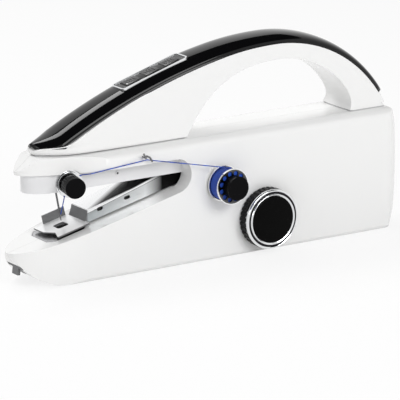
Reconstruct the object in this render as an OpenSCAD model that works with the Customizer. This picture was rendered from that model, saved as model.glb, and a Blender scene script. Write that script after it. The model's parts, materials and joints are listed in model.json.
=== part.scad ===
// Handheld portable sewing machine with a closed grip handle.
// Millimetres. +X runs to the rear, the nose points along -X, the controls
// stand on the -Y side, +Z is up and the base rests on z = 0.

/* [Body] */
// Length of the body from nose tip to rear
body_l = 254; // [212:1:305]
// Width across the two body shells
body_w = 40; // [36:0.5:48]
// Height of the deck that carries the handle
deck_z = 71; // [66:0.5:85]
// Wall of the moulded body shells
wall = 2; // [1.6:0.1:2.4]
// Height of the nose tip above the base
nose_z = 18.3; // [14:0.1:22]
// Radius of the nose underside seen from the side
nose_r = 30; // [26:1:36]
// Length of the tapering bow of the lower arm
bow_l = 42; // [34:1:50]
// Radius of the rear corners seen from above
rear_r = 13; // [10:0.5:15]
// Radius of the rear corners seen from the side
heel_r = 10; // [8:0.5:11]
// Radius along the deck edges
deck_r = 6; // [4:0.5:7]

/* [Throat] */
// Height of the side band between throat ceiling and deck
band_h = 9.5; // [8.5:0.1:12]
// Radius of the rounded rear end of the throat
throat_r = 9.7; // [8.5:0.1:11]
// Distance from the handwheel axis to the centre of the throat end
throat_to_wheel = 58.5; // [54:0.5:66]

/* [Head] */
// Set-back of the skirt tip behind the nose tip
rim_set = 5.5; // [4:0.5:8]
// Set-back of the neck tip behind the nose tip
neck_set = 15; // [13:0.5:18]
// Height of the skirt rim above the throat ceiling
rim_h = 1.8; // [1:0.1:3]
// Length of the tapering bow of the head
head_bow_l = 56; // [50:1:62]
// Width of the needle arm casing
casing_w = 21; // [20:0.5:22]
// Depth of the casing below the throat ceiling
casing_h = 10.5; // [9:0.5:12]
// Wall of the casing
casing_wall = 1.4; // [1.2:0.1:1.6]
// Set-back of the casing tip behind the nose tip
casing_set = 10; // [9:0.5:12]

/* [Handle] */
// Height of the handle above the deck
handle_h = 50.5; // [46:0.5:60]
// Width of the handle where it stands on the deck
handle_w = 29; // [27:0.5:31]
// Width of the black cover at its lower edge
cover_w = 24.6; // [23:0.2:26]
// Depth of the cover measured across the grip
cover_t = 7.4; // [7.2:0.1:9]
// Wall of the handle and its cover
grip_wall = 2; // [1.6:0.1:2.4]
// Distance from the handwheel axis back to the crest of the handle
crest_set = 13; // [9:0.5:16]
// Length of the button panel
panel_l = 43; // [40:0.5:46]
// Width of the button panel
panel_w = 11; // [10:0.2:12]
// Length of one button
button_l = 9.6; // [8:0.2:11]
// Travel of a button
button_travel = 1; // [0.6:0.1:1.2]

/* [Handwheel and drive] */
// Distance from the rear of the body to the handwheel axis
wheel_set = 98; // [96:0.5:102]
// Height of the handwheel axis above the base
wheel_z = 20.3; // [19.5:0.1:22]
// Outer diameter of the handwheel
wheel_d = 34.4; // [30:0.2:36]
// Thickness of the handwheel
wheel_t = 8.5; // [7:0.1:10]
// Diameter of the main shaft
shaft_d = 5; // [4:0.1:6]
// Gear module
gear_m = 0.6; // [0.5:0.05:0.65]
// Width of the gears
gear_t = 3.4; // [3:0.1:4]
// Crank throw
crank_throw = 3.4; // [2.8:0.1:3.8]

/* [Bobbin] */
// Distance from the handwheel axis forward to the bobbin
bobbin_ahead = 28.6; // [28:0.1:31]
// Height of the bobbin axis below the deck
bobbin_drop = 27; // [25:0.1:28]
// Flange diameter of the bobbin
bobbin_d = 20.5; // [18:0.1:21]
// Length of the bobbin over its flanges
bobbin_l = 9.4; // [8:0.1:11]
// Bore of the bobbin
bobbin_bore = 6.2; // [5:0.1:6.5]
// Diameter of the wound thread
wound_d = 18.4; // [12:0.1:18.6]
// Diameter of the cap that holds the bobbin on
cap_d = 13.5; // [11:0.1:14.5]

/* [Needle and fabric plate] */
// Distance from the nose tip to the needle hole
needle_set = 34.1; // [33:0.1:36]
// Lean of the needle towards the nose, in degrees
needle_lean = 10.9; // [9:0.1:13]
// Diameter of the needle
needle_d = 1.6; // [1.2:0.1:2]
// Width of the sprung steel arm
presser_w = 17; // [16:0.2:17.4]
// Thickness of the folded steel sheet
sheet = 0.8; // [0.6:0.1:1]
// Height of the fabric plate above the lower arm
plate_lift = 1.5; // [1.2:0.1:2]

/* [Thread tension] */
// Diameter of the tension knob
knob_d = 11.6; // [9:0.1:12]
// Length of the tension knob
knob_l = 7.8; // [7:0.1:9]
// Diameter of the tension discs
disc_d = 15.4; // [13:0.1:15.6]
// Angle of the tension stud towards the nose, in degrees
stud_turn = 13; // [10:0.5:16]

/* [Power] */
// Diameter of one dry cell
cell_d = 14.2; // [13.5:0.1:14.5]
// Length of one dry cell
cell_l = 50; // [48:0.1:50.5]
// Length of the motor can
motor_l = 20; // [18:0.5:22]

/* [Hidden] */

$fn = 48;
fit = 0.05;      // radial play of a running fit
play = 0.3;      // gap between pieces that move past each other
seam = 0.02;     // gap of a pressed seat
eps = 0.01;      // overlap that keeps a cut clean
over = 1;        // run-out of a cut past a face

// ---- places worked out from the driving sizes ----
half_w = body_w / 2;
nose_x = -body_l / 2;
rear_x = body_l / 2;
wheel_x = rear_x - wheel_set;
throat_x = wheel_x - throat_to_wheel;
throat_z = deck_z - band_h;
throat_cz = throat_z - throat_r;
rim_x = nose_x + rim_set;
rim_z = throat_z + rim_h;
neck_x = nose_x + neck_set;
needle_x = nose_x + needle_set;
bobbin_x = wheel_x - bobbin_ahead;
bobbin_z = deck_z - bobbin_drop;
inner_y = half_w - wall;

// slope of the lower arm: the line from the nose tip that touches the throat end
arm_dx = throat_x - nose_x;
arm_dz = throat_cz - nose_z;
arm_slope = atan2(arm_dz, arm_dx) - asin(throat_r / norm([arm_dx, arm_dz]));
function arm_z(x) = nose_z + (x - nose_x) * tan(arm_slope);

// ---- outline helpers ----
function arc(c, r, a0, a1, n) =
  [for (i = [0:n]) let (a = a0 + (a1 - a0) * i / n) [c[0] + r * cos(a), c[1] + r * sin(a)]];
function bezier_at(p, t) = let (s = 1 - t)
  s * s * s * p[0] + 3 * s * s * t * p[1] + 3 * s * t * t * p[2] + t * t * t * p[3];
function bezier(p, n) = [for (i = [0:n]) bezier_at(p, i / n)];
// half-round bow in plan: x0 is where the sides turn in, p sets how full it is
function bow(x0, l, hw, p, n) =
  [for (i = [0:n]) let (a = 90 - 180 * i / n) [x0 - l * pow(cos(a), 2 / p), hw * sin(a)]];

module ext_y(y0, y1) {
  translate([0, y1, 0]) rotate([90, 0, 0]) linear_extrude(y1 - y0) children();
}
module ext_x(x0, x1) {
  translate([x0, 0, 0]) rotate([90, 0, 90]) linear_extrude(x1 - x0) children();
}
module rod_y(x, z, y0, y1, d) {
  translate([x, y1, z]) rotate([90, 0, 0]) cylinder(d = d, h = y1 - y0);
}
module box(x0, x1, y0, y1, z0, z1) {
  translate([x0, y0, z0]) cube([x1 - x0, y1 - y0, z1 - z0]);
}
// straight bar from p to q, h high
module bar(p, q, h) {
  d = q - p;
  translate(p) rotate(atan2(d[1], d[0])) translate([0, -h / 2]) square([norm(d), h]);
}
module disc(p, d) {
  translate(p) circle(d = d);
}
// tube of eight sides swept along points
function unit(v) = v / norm(v);
function tangent(p, i) =
  unit(p[min(i + 1, len(p) - 1)] - p[max(i - 1, 0)]);
module tube(p, d) {
  n = 8;
  m = len(p);
  pts = [for (i = [0:m - 1]) let (
      t = tangent(p, i),
      u = unit(cross(t, [0.3, 1, 0.2])),
      v = cross(t, u))
    for (k = [0:n - 1]) p[i] + d / 2 * (cos(360 * k / n) * u + sin(360 * k / n) * v)];
  sides = [for (i = [0:m - 2]) for (k = [0:n - 1])
    [i * n + k, (i + 1) * n + k, (i + 1) * n + (k + 1) % n, i * n + (k + 1) % n]];
  polyhedron(pts, concat([[for (k = [0:n - 1]) k]], sides,
    [[for (k = [0:n - 1]) m * n - 1 - k]]));
}

// ---- body ----
// the outlines are drawn d inside the outer skin, so the hollow uses them too
function side_pts(d) = concat(
  arc([rear_x - heel_r, heel_r], heel_r - d, -90, 0, 8),
  arc([rear_x - heel_r, deck_z - heel_r], heel_r - d, 0, 90, 8),
  [[neck_x + 0.7 * d, deck_z - d], [rim_x + 1.6 * d, max(rim_z, throat_z + d + 0.2)],
    [rim_x + 1.6 * d, throat_z + d]],
  arc([throat_x, throat_cz], throat_r + d, 90, -90 + arm_slope, 20),
  [[nose_x + 2.2 * d, arm_z(nose_x + 2.2 * d) - d / cos(arm_slope)]],
  arc([nose_cx, nose_r], nose_r - d, nose_a + 5 * d, 270, 14));
nose_cx = nose_x + sqrt(nose_r * nose_r - pow(nose_r - nose_z, 2));
nose_a = 180 + asin((nose_r - nose_z) / nose_r);

function rear_plan(d) = concat(
  arc([rear_x - rear_r + hair, -(half_w - rear_r)], rear_r - d, -90, 0, 8),
  arc([rear_x - rear_r + hair, half_w - rear_r], rear_r - d, 0, 90, 8));
function lower_plan(d) =
  concat(rear_plan(d), bow(nose_x + bow_l, bow_l - d, half_w - d, 1.7, 28));
function head_plan(d) =
  concat(rear_plan(d), bow(rim_x + head_bow_l, head_bow_l - d, half_w - d, 1.25, 28));
function head_half_w(x) =
  let (u = max(0, (rim_x + head_bow_l - x) / head_bow_l)) half_w * sqrt(1 - pow(u, 1.25));

base_r = 3;
// a hair wider than the plan, so that no two faces of the form coincide
hair = 0.02;
function cross_pts(d) = concat(
  arc([half_w - base_r + hair, base_r - hair], base_r - min(d, base_r - 0.5), -90, 0, 4),
  arc([half_w - deck_r + hair, deck_z - deck_r + hair], deck_r - d, 0, 90, 8),
  arc([-(half_w - deck_r + hair), deck_z - deck_r + hair], deck_r - d, 90, 180, 8),
  arc([-(half_w - base_r + hair), base_r - hair], base_r - min(d, base_r - 0.5), 180, 270, 4));

module body_form(d) {
  intersection() {
    ext_y(-body_w, body_w) polygon(side_pts(d));
    union() {
      translate([0, 0, -over]) linear_extrude(throat_cz + over) polygon(lower_plan(d));
      translate([0, 0, throat_cz]) linear_extrude(deck_z) polygon(head_plan(d));
    }
    ext_x(nose_x - over, rear_x + over) polygon(cross_pts(d));
  }
}

// ---- places of the mechanism ----
tip_rest = 2.6;                       // needle tip above the fabric plate at rest
plate_top = plate_lift + sheet;       // top of the fabric plate above the lower arm
clamp_up = 26.5;                      // clamp centre above the needle tip
lean = [-sin(needle_lean), cos(needle_lean)];
tip = [needle_x + 0.5, arm_z(needle_x) + plate_top + tip_rest];
clamp = tip + clamp_up * lean;
pivot = [throat_x + throat_r + 6.3, throat_z + 0.5];
pivot_d = 3;
rod_pin = [wheel_x + 1, pivot[1]];
rod_pin_d = 2.4;
arm_h = 4;
arm_t = 6;
rear_arm_h = 3;

// layers along the main shaft, from the handwheel inwards
bush_l = 1.6;
large_y = -inner_y + bush_l + 0.4;
gear_y = large_y + gear_t + 1.6;
cam_y = gear_y + gear_t + 0.5;
cam_t = 2;
cam_d = 12;
cam_throw = 1.6;
web_y = cam_y + cam_t + 0.4;
web_t = 3.5;
disc_y = web_y + web_t + 0.4;
crank_t = 1.8;
crank_pin_d = 3;
conrod_t = 2.6;
conrod_y = arm_t / 2 + play;
// at rest the crank stands square to the connecting rod, which is mid stroke
crank_a = 0;

teeth_drive = 40;
teeth_small = 12;
teeth_large = 36;
teeth_pinion = 10;
mesh1_a = 50;
mesh2_a = 25;
function pitch_r(n) = gear_m * n / 2;
idler = [wheel_x, wheel_z]
  + (pitch_r(teeth_drive) + pitch_r(teeth_small)) * [cos(mesh1_a), sin(mesh1_a)];
motor_c = idler
  + (pitch_r(teeth_large) + pitch_r(teeth_pinion)) * [cos(mesh2_a), sin(mesh2_a)];
idler_d = 3;
motor_y = gear_y + gear_t + 0.6;
motor_d = 20;
motor_flat = 15;

presser_pivot = [throat_x + throat_r + 10, throat_cz - 1.5];
presser_pin_d = 3;

looper_c = [needle_x + 15, 12.5];
looper_arm = 8;
looper_y = 1.4;
looper_t = 2;
looper_pin_d = 2.4;
rod_z = looper_c[1] - looper_arm;
looper_rod_d = 2.6;

tray_x = wheel_x + 31;
tray_wall = 1.4;
spring_gap = 1.5;
cell_x = tray_x + tray_wall + spring_gap;
cell_y = cell_d / 2 + 0.25;
cell_z = [wall + 1 + cell_d / 2, wall + 1 + cell_d * 1.5 + 0.8];
tray_h = 2 * cell_d + 3;
door_z0 = wall + 1.6;
door_z1 = door_z0 + 2 * cell_d + 0.4;
door_x0 = tray_x + 1;
door_x1 = cell_x + cell_l + 1.4;

socket_c = [rear_x - 33, deck_z - 17];
socket_d = 8;
socket_l = 11;

screw_d = 2.6;
boss_d = 6;
screw_at = [
  [rear_x - 9, deck_z - 12], [wheel_x + 14, deck_z - 8], [wheel_x - 22, 12.5],
  [throat_x - 4, 12.5], [nose_x + 62, 19]];

// tension stud on the casing wall
stud_foot = [needle_x - 1.2, -casing_w / 2, throat_z - 6];
stud_d = 3;
module on_stud() {
  translate(stud_foot) rotate([0, 0, -stud_turn]) rotate([90, 0, 0]) children();
}
spacer_d = 6;
spacer_at = spacer_d / 2 * tan(stud_turn) + 0.05;
disc_at = 2;
disc_t = 0.5;
disc_gap = 0.8;
spring_at = disc_at + 2 * disc_t + disc_gap + 0.1;
knob_at = 5.4;
relief_d = disc_d + 0.9;

module screw_bosses(y0, y1) {
  for (p = screw_at) rod_y(p[0], p[1], y0, y1, boss_d);
}

// grip of the slide plate: an inclined groove under the lower arm
slide_a = 7;
slide_t = 1.4;
slide_w = 15;
slide_l = 34;
slide_front = [nose_x + 5.2, 9.6];
module along_slide() {
  translate([slide_front[0], 0, slide_front[1]]) rotate([0, slide_a, 0]) children();
}
module slide_cut() {
  along_slide() {
    box(-10, slide_l + 1, -slide_w / 2 + 2, slide_w / 2 - 2, -20, slide_t + play);
    box(-10, slide_l + play, -slide_w / 2 - play, slide_w / 2 + play, -play, slide_t + play);
  }
}
module slide_rails() {
  along_slide()
    box(1, slide_l + 3, -slide_w / 2 - 3, slide_w / 2 + 3, -play - 1.6, slide_t + play + 1.6);
}

// needle plate pocket, drawn on the slope of the lower arm
plate_len = 26;
plate_wid = 24;
pocket_d = 0.9;
module on_arm(x, up) {
  translate([x, 0, arm_z(x) + up]) rotate([0, -arm_slope, 0]) children();
}
module lozenge(l, w, h) {
  linear_extrude(h) intersection() {
    translate([-l / 2, -w / 2]) square([l, w]);
    circle(d = norm([l, w]) * 0.86);
  }
}
module needle_pocket() {
  on_arm(needle_x - 1, -pocket_d) lozenge(plate_len, plate_wid, 5);
  on_arm(needle_x + 1, -wall - 2 * over) translate([-8, -5, 0]) cube([18, 10, 6]);
}

module shell_walls() {
  difference() {
    body_form(0);
    body_form(wall);
  }
}
module shared_ribs() {
  intersection() {
    body_form(eps);
    union() {
      slide_rails();
      on_arm(needle_x - 1, -wall - 1.2) lozenge(plate_len + 5, plate_wid + 5, wall);
    }
  }
}
// cuts that both shells share
module shared_cuts() {
  slide_cut();
  needle_pocket();
  // the casing opens upwards into the head
  box(rim_x + casing_set, throat_x, -casing_w / 2 + casing_wall, casing_w / 2 - casing_wall,
    throat_z - over, throat_z + wall + over);
  // the steel arm and the needle arm pass through the end of the throat
  box(throat_x - eps, throat_x + throat_r + wall + 0.5, -presser_w / 2 - 1, presser_w / 2 + 1,
    throat_cz - 9, throat_z + wall + over);
  wire_hole();
}

// wires climb from the body into the handle
module wire_hole() {
  box(throat_x, throat_x + 10, -6, 6, deck_z - wall - over, deck_z + grip_wall + over);
}
// upright web that carries the inner end of the main shaft
module shaft_web() {
  box(wheel_x - 7, wheel_x + 7, web_y, web_y + web_t, wall - eps, wheel_z);
  rod_y(wheel_x, wheel_z, web_y, web_y + web_t, 14);
}
bush_wall = 1.5;
bush_d = shaft_d + 2 * fit + 2 * bush_wall;
post_d = 6;

module front_shell() {
  color("white") difference() {
    union() {
      intersection() {
        union() {
          shell_walls();
          shared_ribs();
        }
        box(nose_x - over, rear_x + over, -body_w, 0, -over, deck_z + over);
      }
      intersection() {
        union() {
          screw_bosses(-inner_y - eps, 0);
          rod_y(wheel_x, wheel_z, -inner_y - eps, -inner_y + bush_l, bush_d + 4);
          shaft_web();
          rod_y(idler[0], idler[1], -inner_y - eps, large_y - 0.4, post_d);
          rod_y(pivot[0], pivot[1], -inner_y - eps, -arm_t / 2 - play, pivot_d + 2.4);
          rod_y(presser_pivot[0], presser_pivot[1], -inner_y - eps, -presser_w / 2 - play - 1,
            post_d);
          rod_y(bobbin_x, bobbin_z, -inner_y - eps, -inner_y + 4, post_d + 3);
          rod_y(looper_c[0], looper_c[1], -inner_y - eps, looper_y - play, post_d);
        }
        body_form(eps);
      }
    }
    shared_cuts();
    for (p = screw_at) rod_y(p[0], p[1], -half_w + wall + 1, over, screw_d - 0.4);
    rod_y(wheel_x, wheel_z, -half_w - over, 0, bush_d + 2 * seam);
    rod_y(idler[0], idler[1], -inner_y, 0, idler_d + 2 * seam);
    rod_y(pivot[0], pivot[1], -inner_y + 1, 0, pivot_d + 2 * seam);
    rod_y(presser_pivot[0], presser_pivot[1], -inner_y + 1, 0, presser_pin_d + 2 * seam);
    rod_y(looper_c[0], looper_c[1], -inner_y + 1, over + looper_y, looper_pin_d + 2 * seam);
    rod_y(bobbin_x, bobbin_z, -half_w - over, -inner_y + 4 + over, spindle_root_d + 2 * seam);
    guide_holes();
    on_stud() cylinder(d = relief_d, h = 30);
  }
}

module back_shell() {
  color("white") difference() {
    union() {
      intersection() {
        union() {
          shell_walls();
          shared_ribs();
        }
        box(nose_x - over, rear_x + over, 0, body_w, -over, deck_z + over);
      }
      intersection() {
        union() {
          screw_bosses(0, inner_y + eps);
          rod_y(pivot[0], pivot[1], arm_t / 2 + play, inner_y + eps, pivot_d + 2.4);
          rod_y(presser_pivot[0], presser_pivot[1], presser_w / 2 + play + 1, inner_y + eps,
            post_d);
          rod_y(looper_c[0], looper_c[1], looper_y + looper_t + play, inner_y + eps, post_d);
          for (x = rod_guide_x) box(x - 2, x + 2, looper_rod_y - 3, inner_y + eps,
            rod_z + looper_rise - 3, rod_z + looper_rise + 3);
        }
        body_form(eps);
      }
    }
    shared_cuts();
    for (p = screw_at) {
      rod_y(p[0], p[1], -over, half_w + over, screw_d + 0.6);
      rod_y(p[0], p[1], half_w - 2.2, half_w + over, screw_head_d + 0.6);
    }
    rod_y(pivot[0], pivot[1], 0, inner_y - 1, pivot_d + 2 * seam);
    rod_y(presser_pivot[0], presser_pivot[1], 0, inner_y - 1, presser_pin_d + 2 * seam);
    rod_y(looper_c[0], looper_c[1], 0, inner_y - 1, looper_pin_d + 2 * seam);
    box(door_x0, door_x1, inner_y - over, half_w + over, door_z0, door_z1);
    rod_y(socket_c[0], socket_c[1], inner_y - over, half_w + over, socket_d + 2 * seam);
    for (x = rod_guide_x)
      translate([x - 3, looper_rod_y, rod_z + looper_rise]) rotate([0, 90, 0])
        cylinder(d = looper_rod_d + 2 * fit, h = 6);
  }
}
looper_rise = 3;
looper_rod_y = looper_y + looper_t + 3.4;
rod_guide_x = [throat_x - 22, throat_x + 20];

// ---- needle arm casing under the head ----
function casing_plan(d) = concat(
  [[throat_x + throat_r + 1 - d, -casing_w / 2 + d], [throat_x + throat_r + 1 - d, casing_w / 2 - d]],
  bow(nose_x + casing_set + 17, 17 - d, casing_w / 2 - d, 2, 16));
casing_floor = throat_z - casing_h;
floor_end = throat_x - 43.5;          // the casing floor stops here, behind it is open
module needle_casing() {
  color("gainsboro") difference() {
    intersection() {
      translate([0, 0, casing_floor]) linear_extrude(casing_h) polygon(casing_plan(0));
      // follow the round end of the throat
      union() {
        rod_y(throat_x, throat_cz, -body_w, body_w, 2 * throat_r);
        box(nose_x, throat_x, -body_w, body_w, casing_floor - over, throat_z);
      }
    }
    translate([0, 0, casing_floor + casing_wall])
      linear_extrude(casing_h) polygon(casing_plan(casing_wall));
    box(floor_end, throat_x + throat_r + 2, -casing_w / 2 + casing_wall,
      casing_w / 2 - casing_wall, casing_floor - over, throat_z + over);
    // slot for the needle clamp
    box(clamp[0] - 7, floor_end + over, -4.6, 4.6, casing_floor - over, casing_floor + 5);
    on_stud() translate([0, 0, -casing_wall - 2]) cylinder(d = stud_d + 2 * seam, h = 6);
    casing_screw_hole();
  }
}
casing_screw_at = [throat_x - 33, throat_z - 5];
module casing_screw_hole() {
  rod_y(casing_screw_at[0], casing_screw_at[1], -casing_w / 2 - over, -casing_w / 2 + 3,
    1.6 + 2 * seam);
}
module casing_screw() {
  color("dimgray") {
    rod_y(casing_screw_at[0], casing_screw_at[1], -casing_w / 2,
      -casing_w / 2 + casing_wall + 1, 1.6);
    rod_y(casing_screw_at[0], casing_screw_at[1], -casing_w / 2 - 0.5, -casing_w / 2, 2.4);
  }
}

// ---- handle: three arcs make its crest line ----
crest_x = wheel_x + crest_set;
crest_z = deck_z + handle_h;
mid_a = 10.4;
arc_r = [360, 200, 90];
arc_c1 = [crest_x, crest_z - arc_r[1]];
joint_p = arc_c1 + arc_r[1] * [-sin(mid_a), cos(mid_a)];
arc_c0 = joint_p - arc_r[0] * [-sin(mid_a), cos(mid_a)];
arc_c2 = [crest_x, crest_z - arc_r[2]];
rear_end_a = 58.1;                    // how far round the rear arc runs
neck_end_x = neck_x - 6;
front_a = asin((arc_c0[0] - neck_end_x) / arc_r[0]);
function crest_line(d, n) = concat(
  arc(arc_c0, arc_r[0] - d, 90 + front_a, 90 + mid_a, 3 * n),
  arc(arc_c1, arc_r[1] - d, 90 + mid_a - 1, 90, n),
  arc(arc_c2, arc_r[2] - d, 90 - 5, 90 - rear_end_a, 2 * n));
lip_z = deck_z + 4.2;                 // lower edge of the cover at the nose
handle_rear = arc_c2 + arc_r[2] * [sin(rear_end_a), cos(rear_end_a)];
// where the lower edge of the cover comes down to the lip
lip_x = arc_c0[0] - sqrt(pow(arc_r[0] - cover_t, 2) - pow(lip_z - arc_c0[1], 2));

function handle_plan(d) = concat(
  [[rear_x - 3 - d, -handle_w / 2 + d], [rear_x - 3 - d, handle_w / 2 - d]],
  bow(neck_x + 27, 27 - d, handle_w / 2 - d, 1.6, 20));
window_h = 36.3;                      // height of the grip window over the deck
function window_front(d) = [
  [wheel_x - 46 - d, deck_z], [wheel_x - 35 - d, deck_z + 21 + d],
  [wheel_x - 17, deck_z + window_h + d], [wheel_x + 13, deck_z + window_h + d]];
function window_rear(d) = [
  [wheel_x + 13, deck_z + window_h + d], [wheel_x + 37, deck_z + window_h + d],
  [wheel_x + 63 + d, deck_z + 21 + d], [wheel_x + 67 + d, deck_z]];
module grip_section(d) {
  // flanks lean in towards the crest
  polygon([[-handle_w / 2 + d, deck_z - over], [handle_w / 2 - d, deck_z - over],
    [cover_w / 2 - d, deck_z + 30], [cover_w / 2 - d, crest_z + over],
    [-cover_w / 2 + d, crest_z + over], [-cover_w / 2 + d, deck_z + 30]]);
}
module handle_side(d) {
  difference() {
    polygon(concat([[neck_x + d, deck_z + d], [neck_x + d, lip_z], [lip_x, lip_z]],
      [for (q = crest_line(cover_t, 12)) if (q[0] > lip_x + 1) q],
      [[handle_rear[0] + 1.5 - d, deck_z + d]]));
    polygon(concat(bezier(window_front(d), 14), bezier(window_rear(d), 14)));
  }
}
module handle_form(d) {
  intersection() {
    ext_y(-body_w, body_w) handle_side(d);
    translate([0, 0, deck_z]) linear_extrude(handle_h) polygon(handle_plan(d));
    ext_x(nose_x, rear_x) grip_section(d);
  }
}
module handle_shell() {
  color("white") difference() {
    union() {
      difference() {
        handle_form(0);
        intersection() {
          handle_form(grip_wall);
          box(nose_x, rear_x, -handle_w, handle_w, deck_z + grip_wall, crest_z);
        }
      }
      cover_posts(boss_d + 1.4);
    }
    wire_hole();
    for (p = cover_screw) {
      translate([p[0], 0, p[1] - 2 * over])
        cylinder(d = screw_head_d + 2 * play, h = 2 * over + head_sink);
      translate([p[0], 0, p[1]]) cylinder(d = screw_d + 2 * play, h = cover_t + over);
    }
  }
}

// rounded cap section, x is the radius from the arc centre, y is across the grip
function cap_pts(r, hw, h, n) =
  [for (i = [0:n]) let (a = 180 * i / n)
    [r - h + h * pow(sin(a), 0.62), hw * (cos(a) < 0 ? -1 : 1) * pow(abs(cos(a)), 0.78)]];
module cap_sweep(i, c, a0, a1, d, deep) {
  translate([c[0], 0, c[1]]) rotate([90, 0, 0]) rotate([0, 0, a1])
    rotate_extrude(angle = a0 - a1, $fn = 180)
      polygon(cap_pts(arc_r[i] - d, cover_w / 2 - d, cover_t + deep - d, 13));
}
lap_a = 0.4;                          // how far the middle sweep runs into its neighbours
module cover_form(d) {
  deep = d > 0 ? over : 0;
  intersection() {
    union() {
      cap_sweep(0, arc_c0, 90 + front_a, 90 + mid_a, d, deep);
      cap_sweep(1, arc_c1, 90 + mid_a + lap_a, 90 - lap_a, d + hair, deep - hair);
      cap_sweep(2, arc_c2, 90, 90 - rear_end_a, d, deep);
      nose_fill(d);
    }
    translate([0, 0, deck_z]) linear_extrude(handle_h + over) polygon(handle_plan(d));
    box(nose_x, rear_x, -body_w, body_w, lip_z - (d > 0 ? over : 0), crest_z + over);
  }
}
// the cover closes down to its level lip at the nose
module nose_fill(d) {
  intersection() {
    ext_y(-cover_w / 2 + d, cover_w / 2 - d)
      polygon(concat([for (q = crest_line(d + 3, 12)) if (q[0] < lip_x) q],
        [[lip_x, deck_z - 5], [neck_x - 8, deck_z - 5]]));
    ext_x(nose_x, rear_x) grip_section(d);
  }
}
// height of the crest line over the grip
function crest_at(x) = let (i = x < crest_x ? 1 : 2)
  crest_z - arc_r[i] + sqrt(arc_r[i] * arc_r[i] - pow(x - crest_x, 2));
// the cover screws stand on the window curve
cover_screw = [bezier_at(window_front(0), 0.86), bezier_at(window_rear(0), 0.22)];
head_sink = 1.4;                      // how deep the screw heads sink
module cover_posts(d) {
  for (p = cover_screw) translate([p[0], 0, p[1] + 1])
    cylinder(d = d, h = crest_at(p[0]) - cover_t - p[1] - 1.6);
}
module cover_bosses(d) {
  for (p = cover_screw) translate([p[0], 0, crest_at(p[0]) - cover_t + 0.6]) rotate(20)
    cylinder(d = d, h = cover_t - 1.8);
}
module handle_cover() {
  color([0.07, 0.07, 0.07]) difference() {
    union() {
      difference() {
        cover_form(0);
        difference() {
          cover_form(grip_wall);
          panel_frame() box(-panel_l / 2 - 2, panel_l / 2 + 2, -panel_w, panel_w, -4.4, 10);
        }
      }
      cover_bosses(boss_d);
    }
    panel_frame() {
      box(-panel_l / 2 - trim_w - play / 3, panel_l / 2 + trim_w + play / 3,
        -panel_w / 2 - trim_w - play / 3, panel_w / 2 + trim_w + play / 3, -panel_t, 10);
      box(-panel_l / 2 + 2, panel_l / 2 - 2, -panel_w / 2 + 1.6, panel_w / 2 - 1.6, -8, 0);
    }
    translate([0, 0, -over]) cover_bosses(screw_d - 0.4);
  }
}
module handle_screws() {
  color("silver") for (p = cover_screw) {
    translate([p[0], 0, p[1] + head_sink - 1.2]) cylinder(d = screw_head_d, h = 1.2);
    translate([p[0], 0, p[1] + head_sink]) cylinder(d = screw_d - 0.5,
      h = crest_at(p[0]) - cover_t - p[1] + 3);
  }
}

// ---- button panel, in its own tilted frame on the crest ----
panel_x = wheel_x - 63.5;
panel_t = 1.6;
trim_w = 0.9;
panel_a = asin((arc_c0[0] - panel_x) / arc_r[0]);
module panel_frame() {
  translate([arc_c0[0] - (arc_r[0] - 0.25) * sin(panel_a), 0,
    arc_c0[1] + (arc_r[0] - 0.25) * cos(panel_a)])
    rotate([0, -panel_a, 0]) children();
}
module round_box(l, w, r, h) {
  linear_extrude(h) union() {
    translate([-l / 2 + r, -w / 2]) square([l - 2 * r, w]);
    translate([-l / 2, -w / 2 + r]) square([l, w - 2 * r]);
    for (x = [-1, 1], y = [-1, 1]) translate([x * (l / 2 - r), y * (w / 2 - r)]) circle(r);
  }
}
panel_r = 1.6;
module panel_trim() {
  color("silver") panel_frame() difference() {
    translate([0, 0, -panel_t]) round_box(panel_l + 2 * trim_w, panel_w + 2 * trim_w,
      panel_r + trim_w, panel_t + 0.2);
    translate([0, 0, -panel_t - over]) round_box(panel_l, panel_w, panel_r, panel_t + 3);
  }
}
button_pitch = 13;
button_w = 7.4;
module button_panel() {
  color([0.16, 0.16, 0.17]) panel_frame() difference() {
    translate([0, 0, -panel_t]) round_box(panel_l - 2 * seam, panel_w - 2 * seam, panel_r,
      panel_t - 0.2);
    for (i = [-1:1]) translate([i * button_pitch, 0, -panel_t - over])
      round_box(button_l + 2 * play, button_w + 2 * play, 0.9, panel_t + 3);
  }
}
board_z = -5.2;
module button(i) {
  panel_frame() translate([i * button_pitch, 0, 0]) {
    translate([0, 0, -panel_t]) round_box(button_l, button_w, 0.8, panel_t + 0.4);
    translate([0, 0, board_z + 1 + button_travel + play]) cylinder(d = 3,
      h = -panel_t - board_z - 1 - button_travel - play);
  }
}
module power_button() {
  color([0.22, 0.22, 0.23]) button(-1);
}
module speed_button() {
  color([0.22, 0.22, 0.23]) button(0);
}
module lamp_button() {
  color([0.22, 0.22, 0.23]) button(1);
}
module button_board() {
  color("darkgreen") panel_frame() {
    box(-panel_l / 2 + 2.4, panel_l / 2 - 2.4, -4.6, 4.6, board_z - 1, board_z);
    for (i = [-1:1]) box(i * button_pitch - 2, i * button_pitch + 2, -2, 2, board_z, board_z + 1);
  }
}

// ---- fasteners ----
screw_head_d = 4.6;
module housing_screws() {
  color("silver") for (p = screw_at) difference() {
    union() {
      rod_y(p[0], p[1], half_w - 2.2, half_w - 0.8, screw_head_d);
      rod_y(p[0], p[1], -10, half_w - 2.2 + eps, screw_d - 0.5);
    }
    box(p[0] - 1.6, p[0] + 1.6, half_w - 1.4, half_w, p[1] - 0.3, p[1] + 0.3);
    box(p[0] - 0.3, p[0] + 0.3, half_w - 1.4, half_w, p[1] - 1.6, p[1] + 1.6);
  }
}

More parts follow.
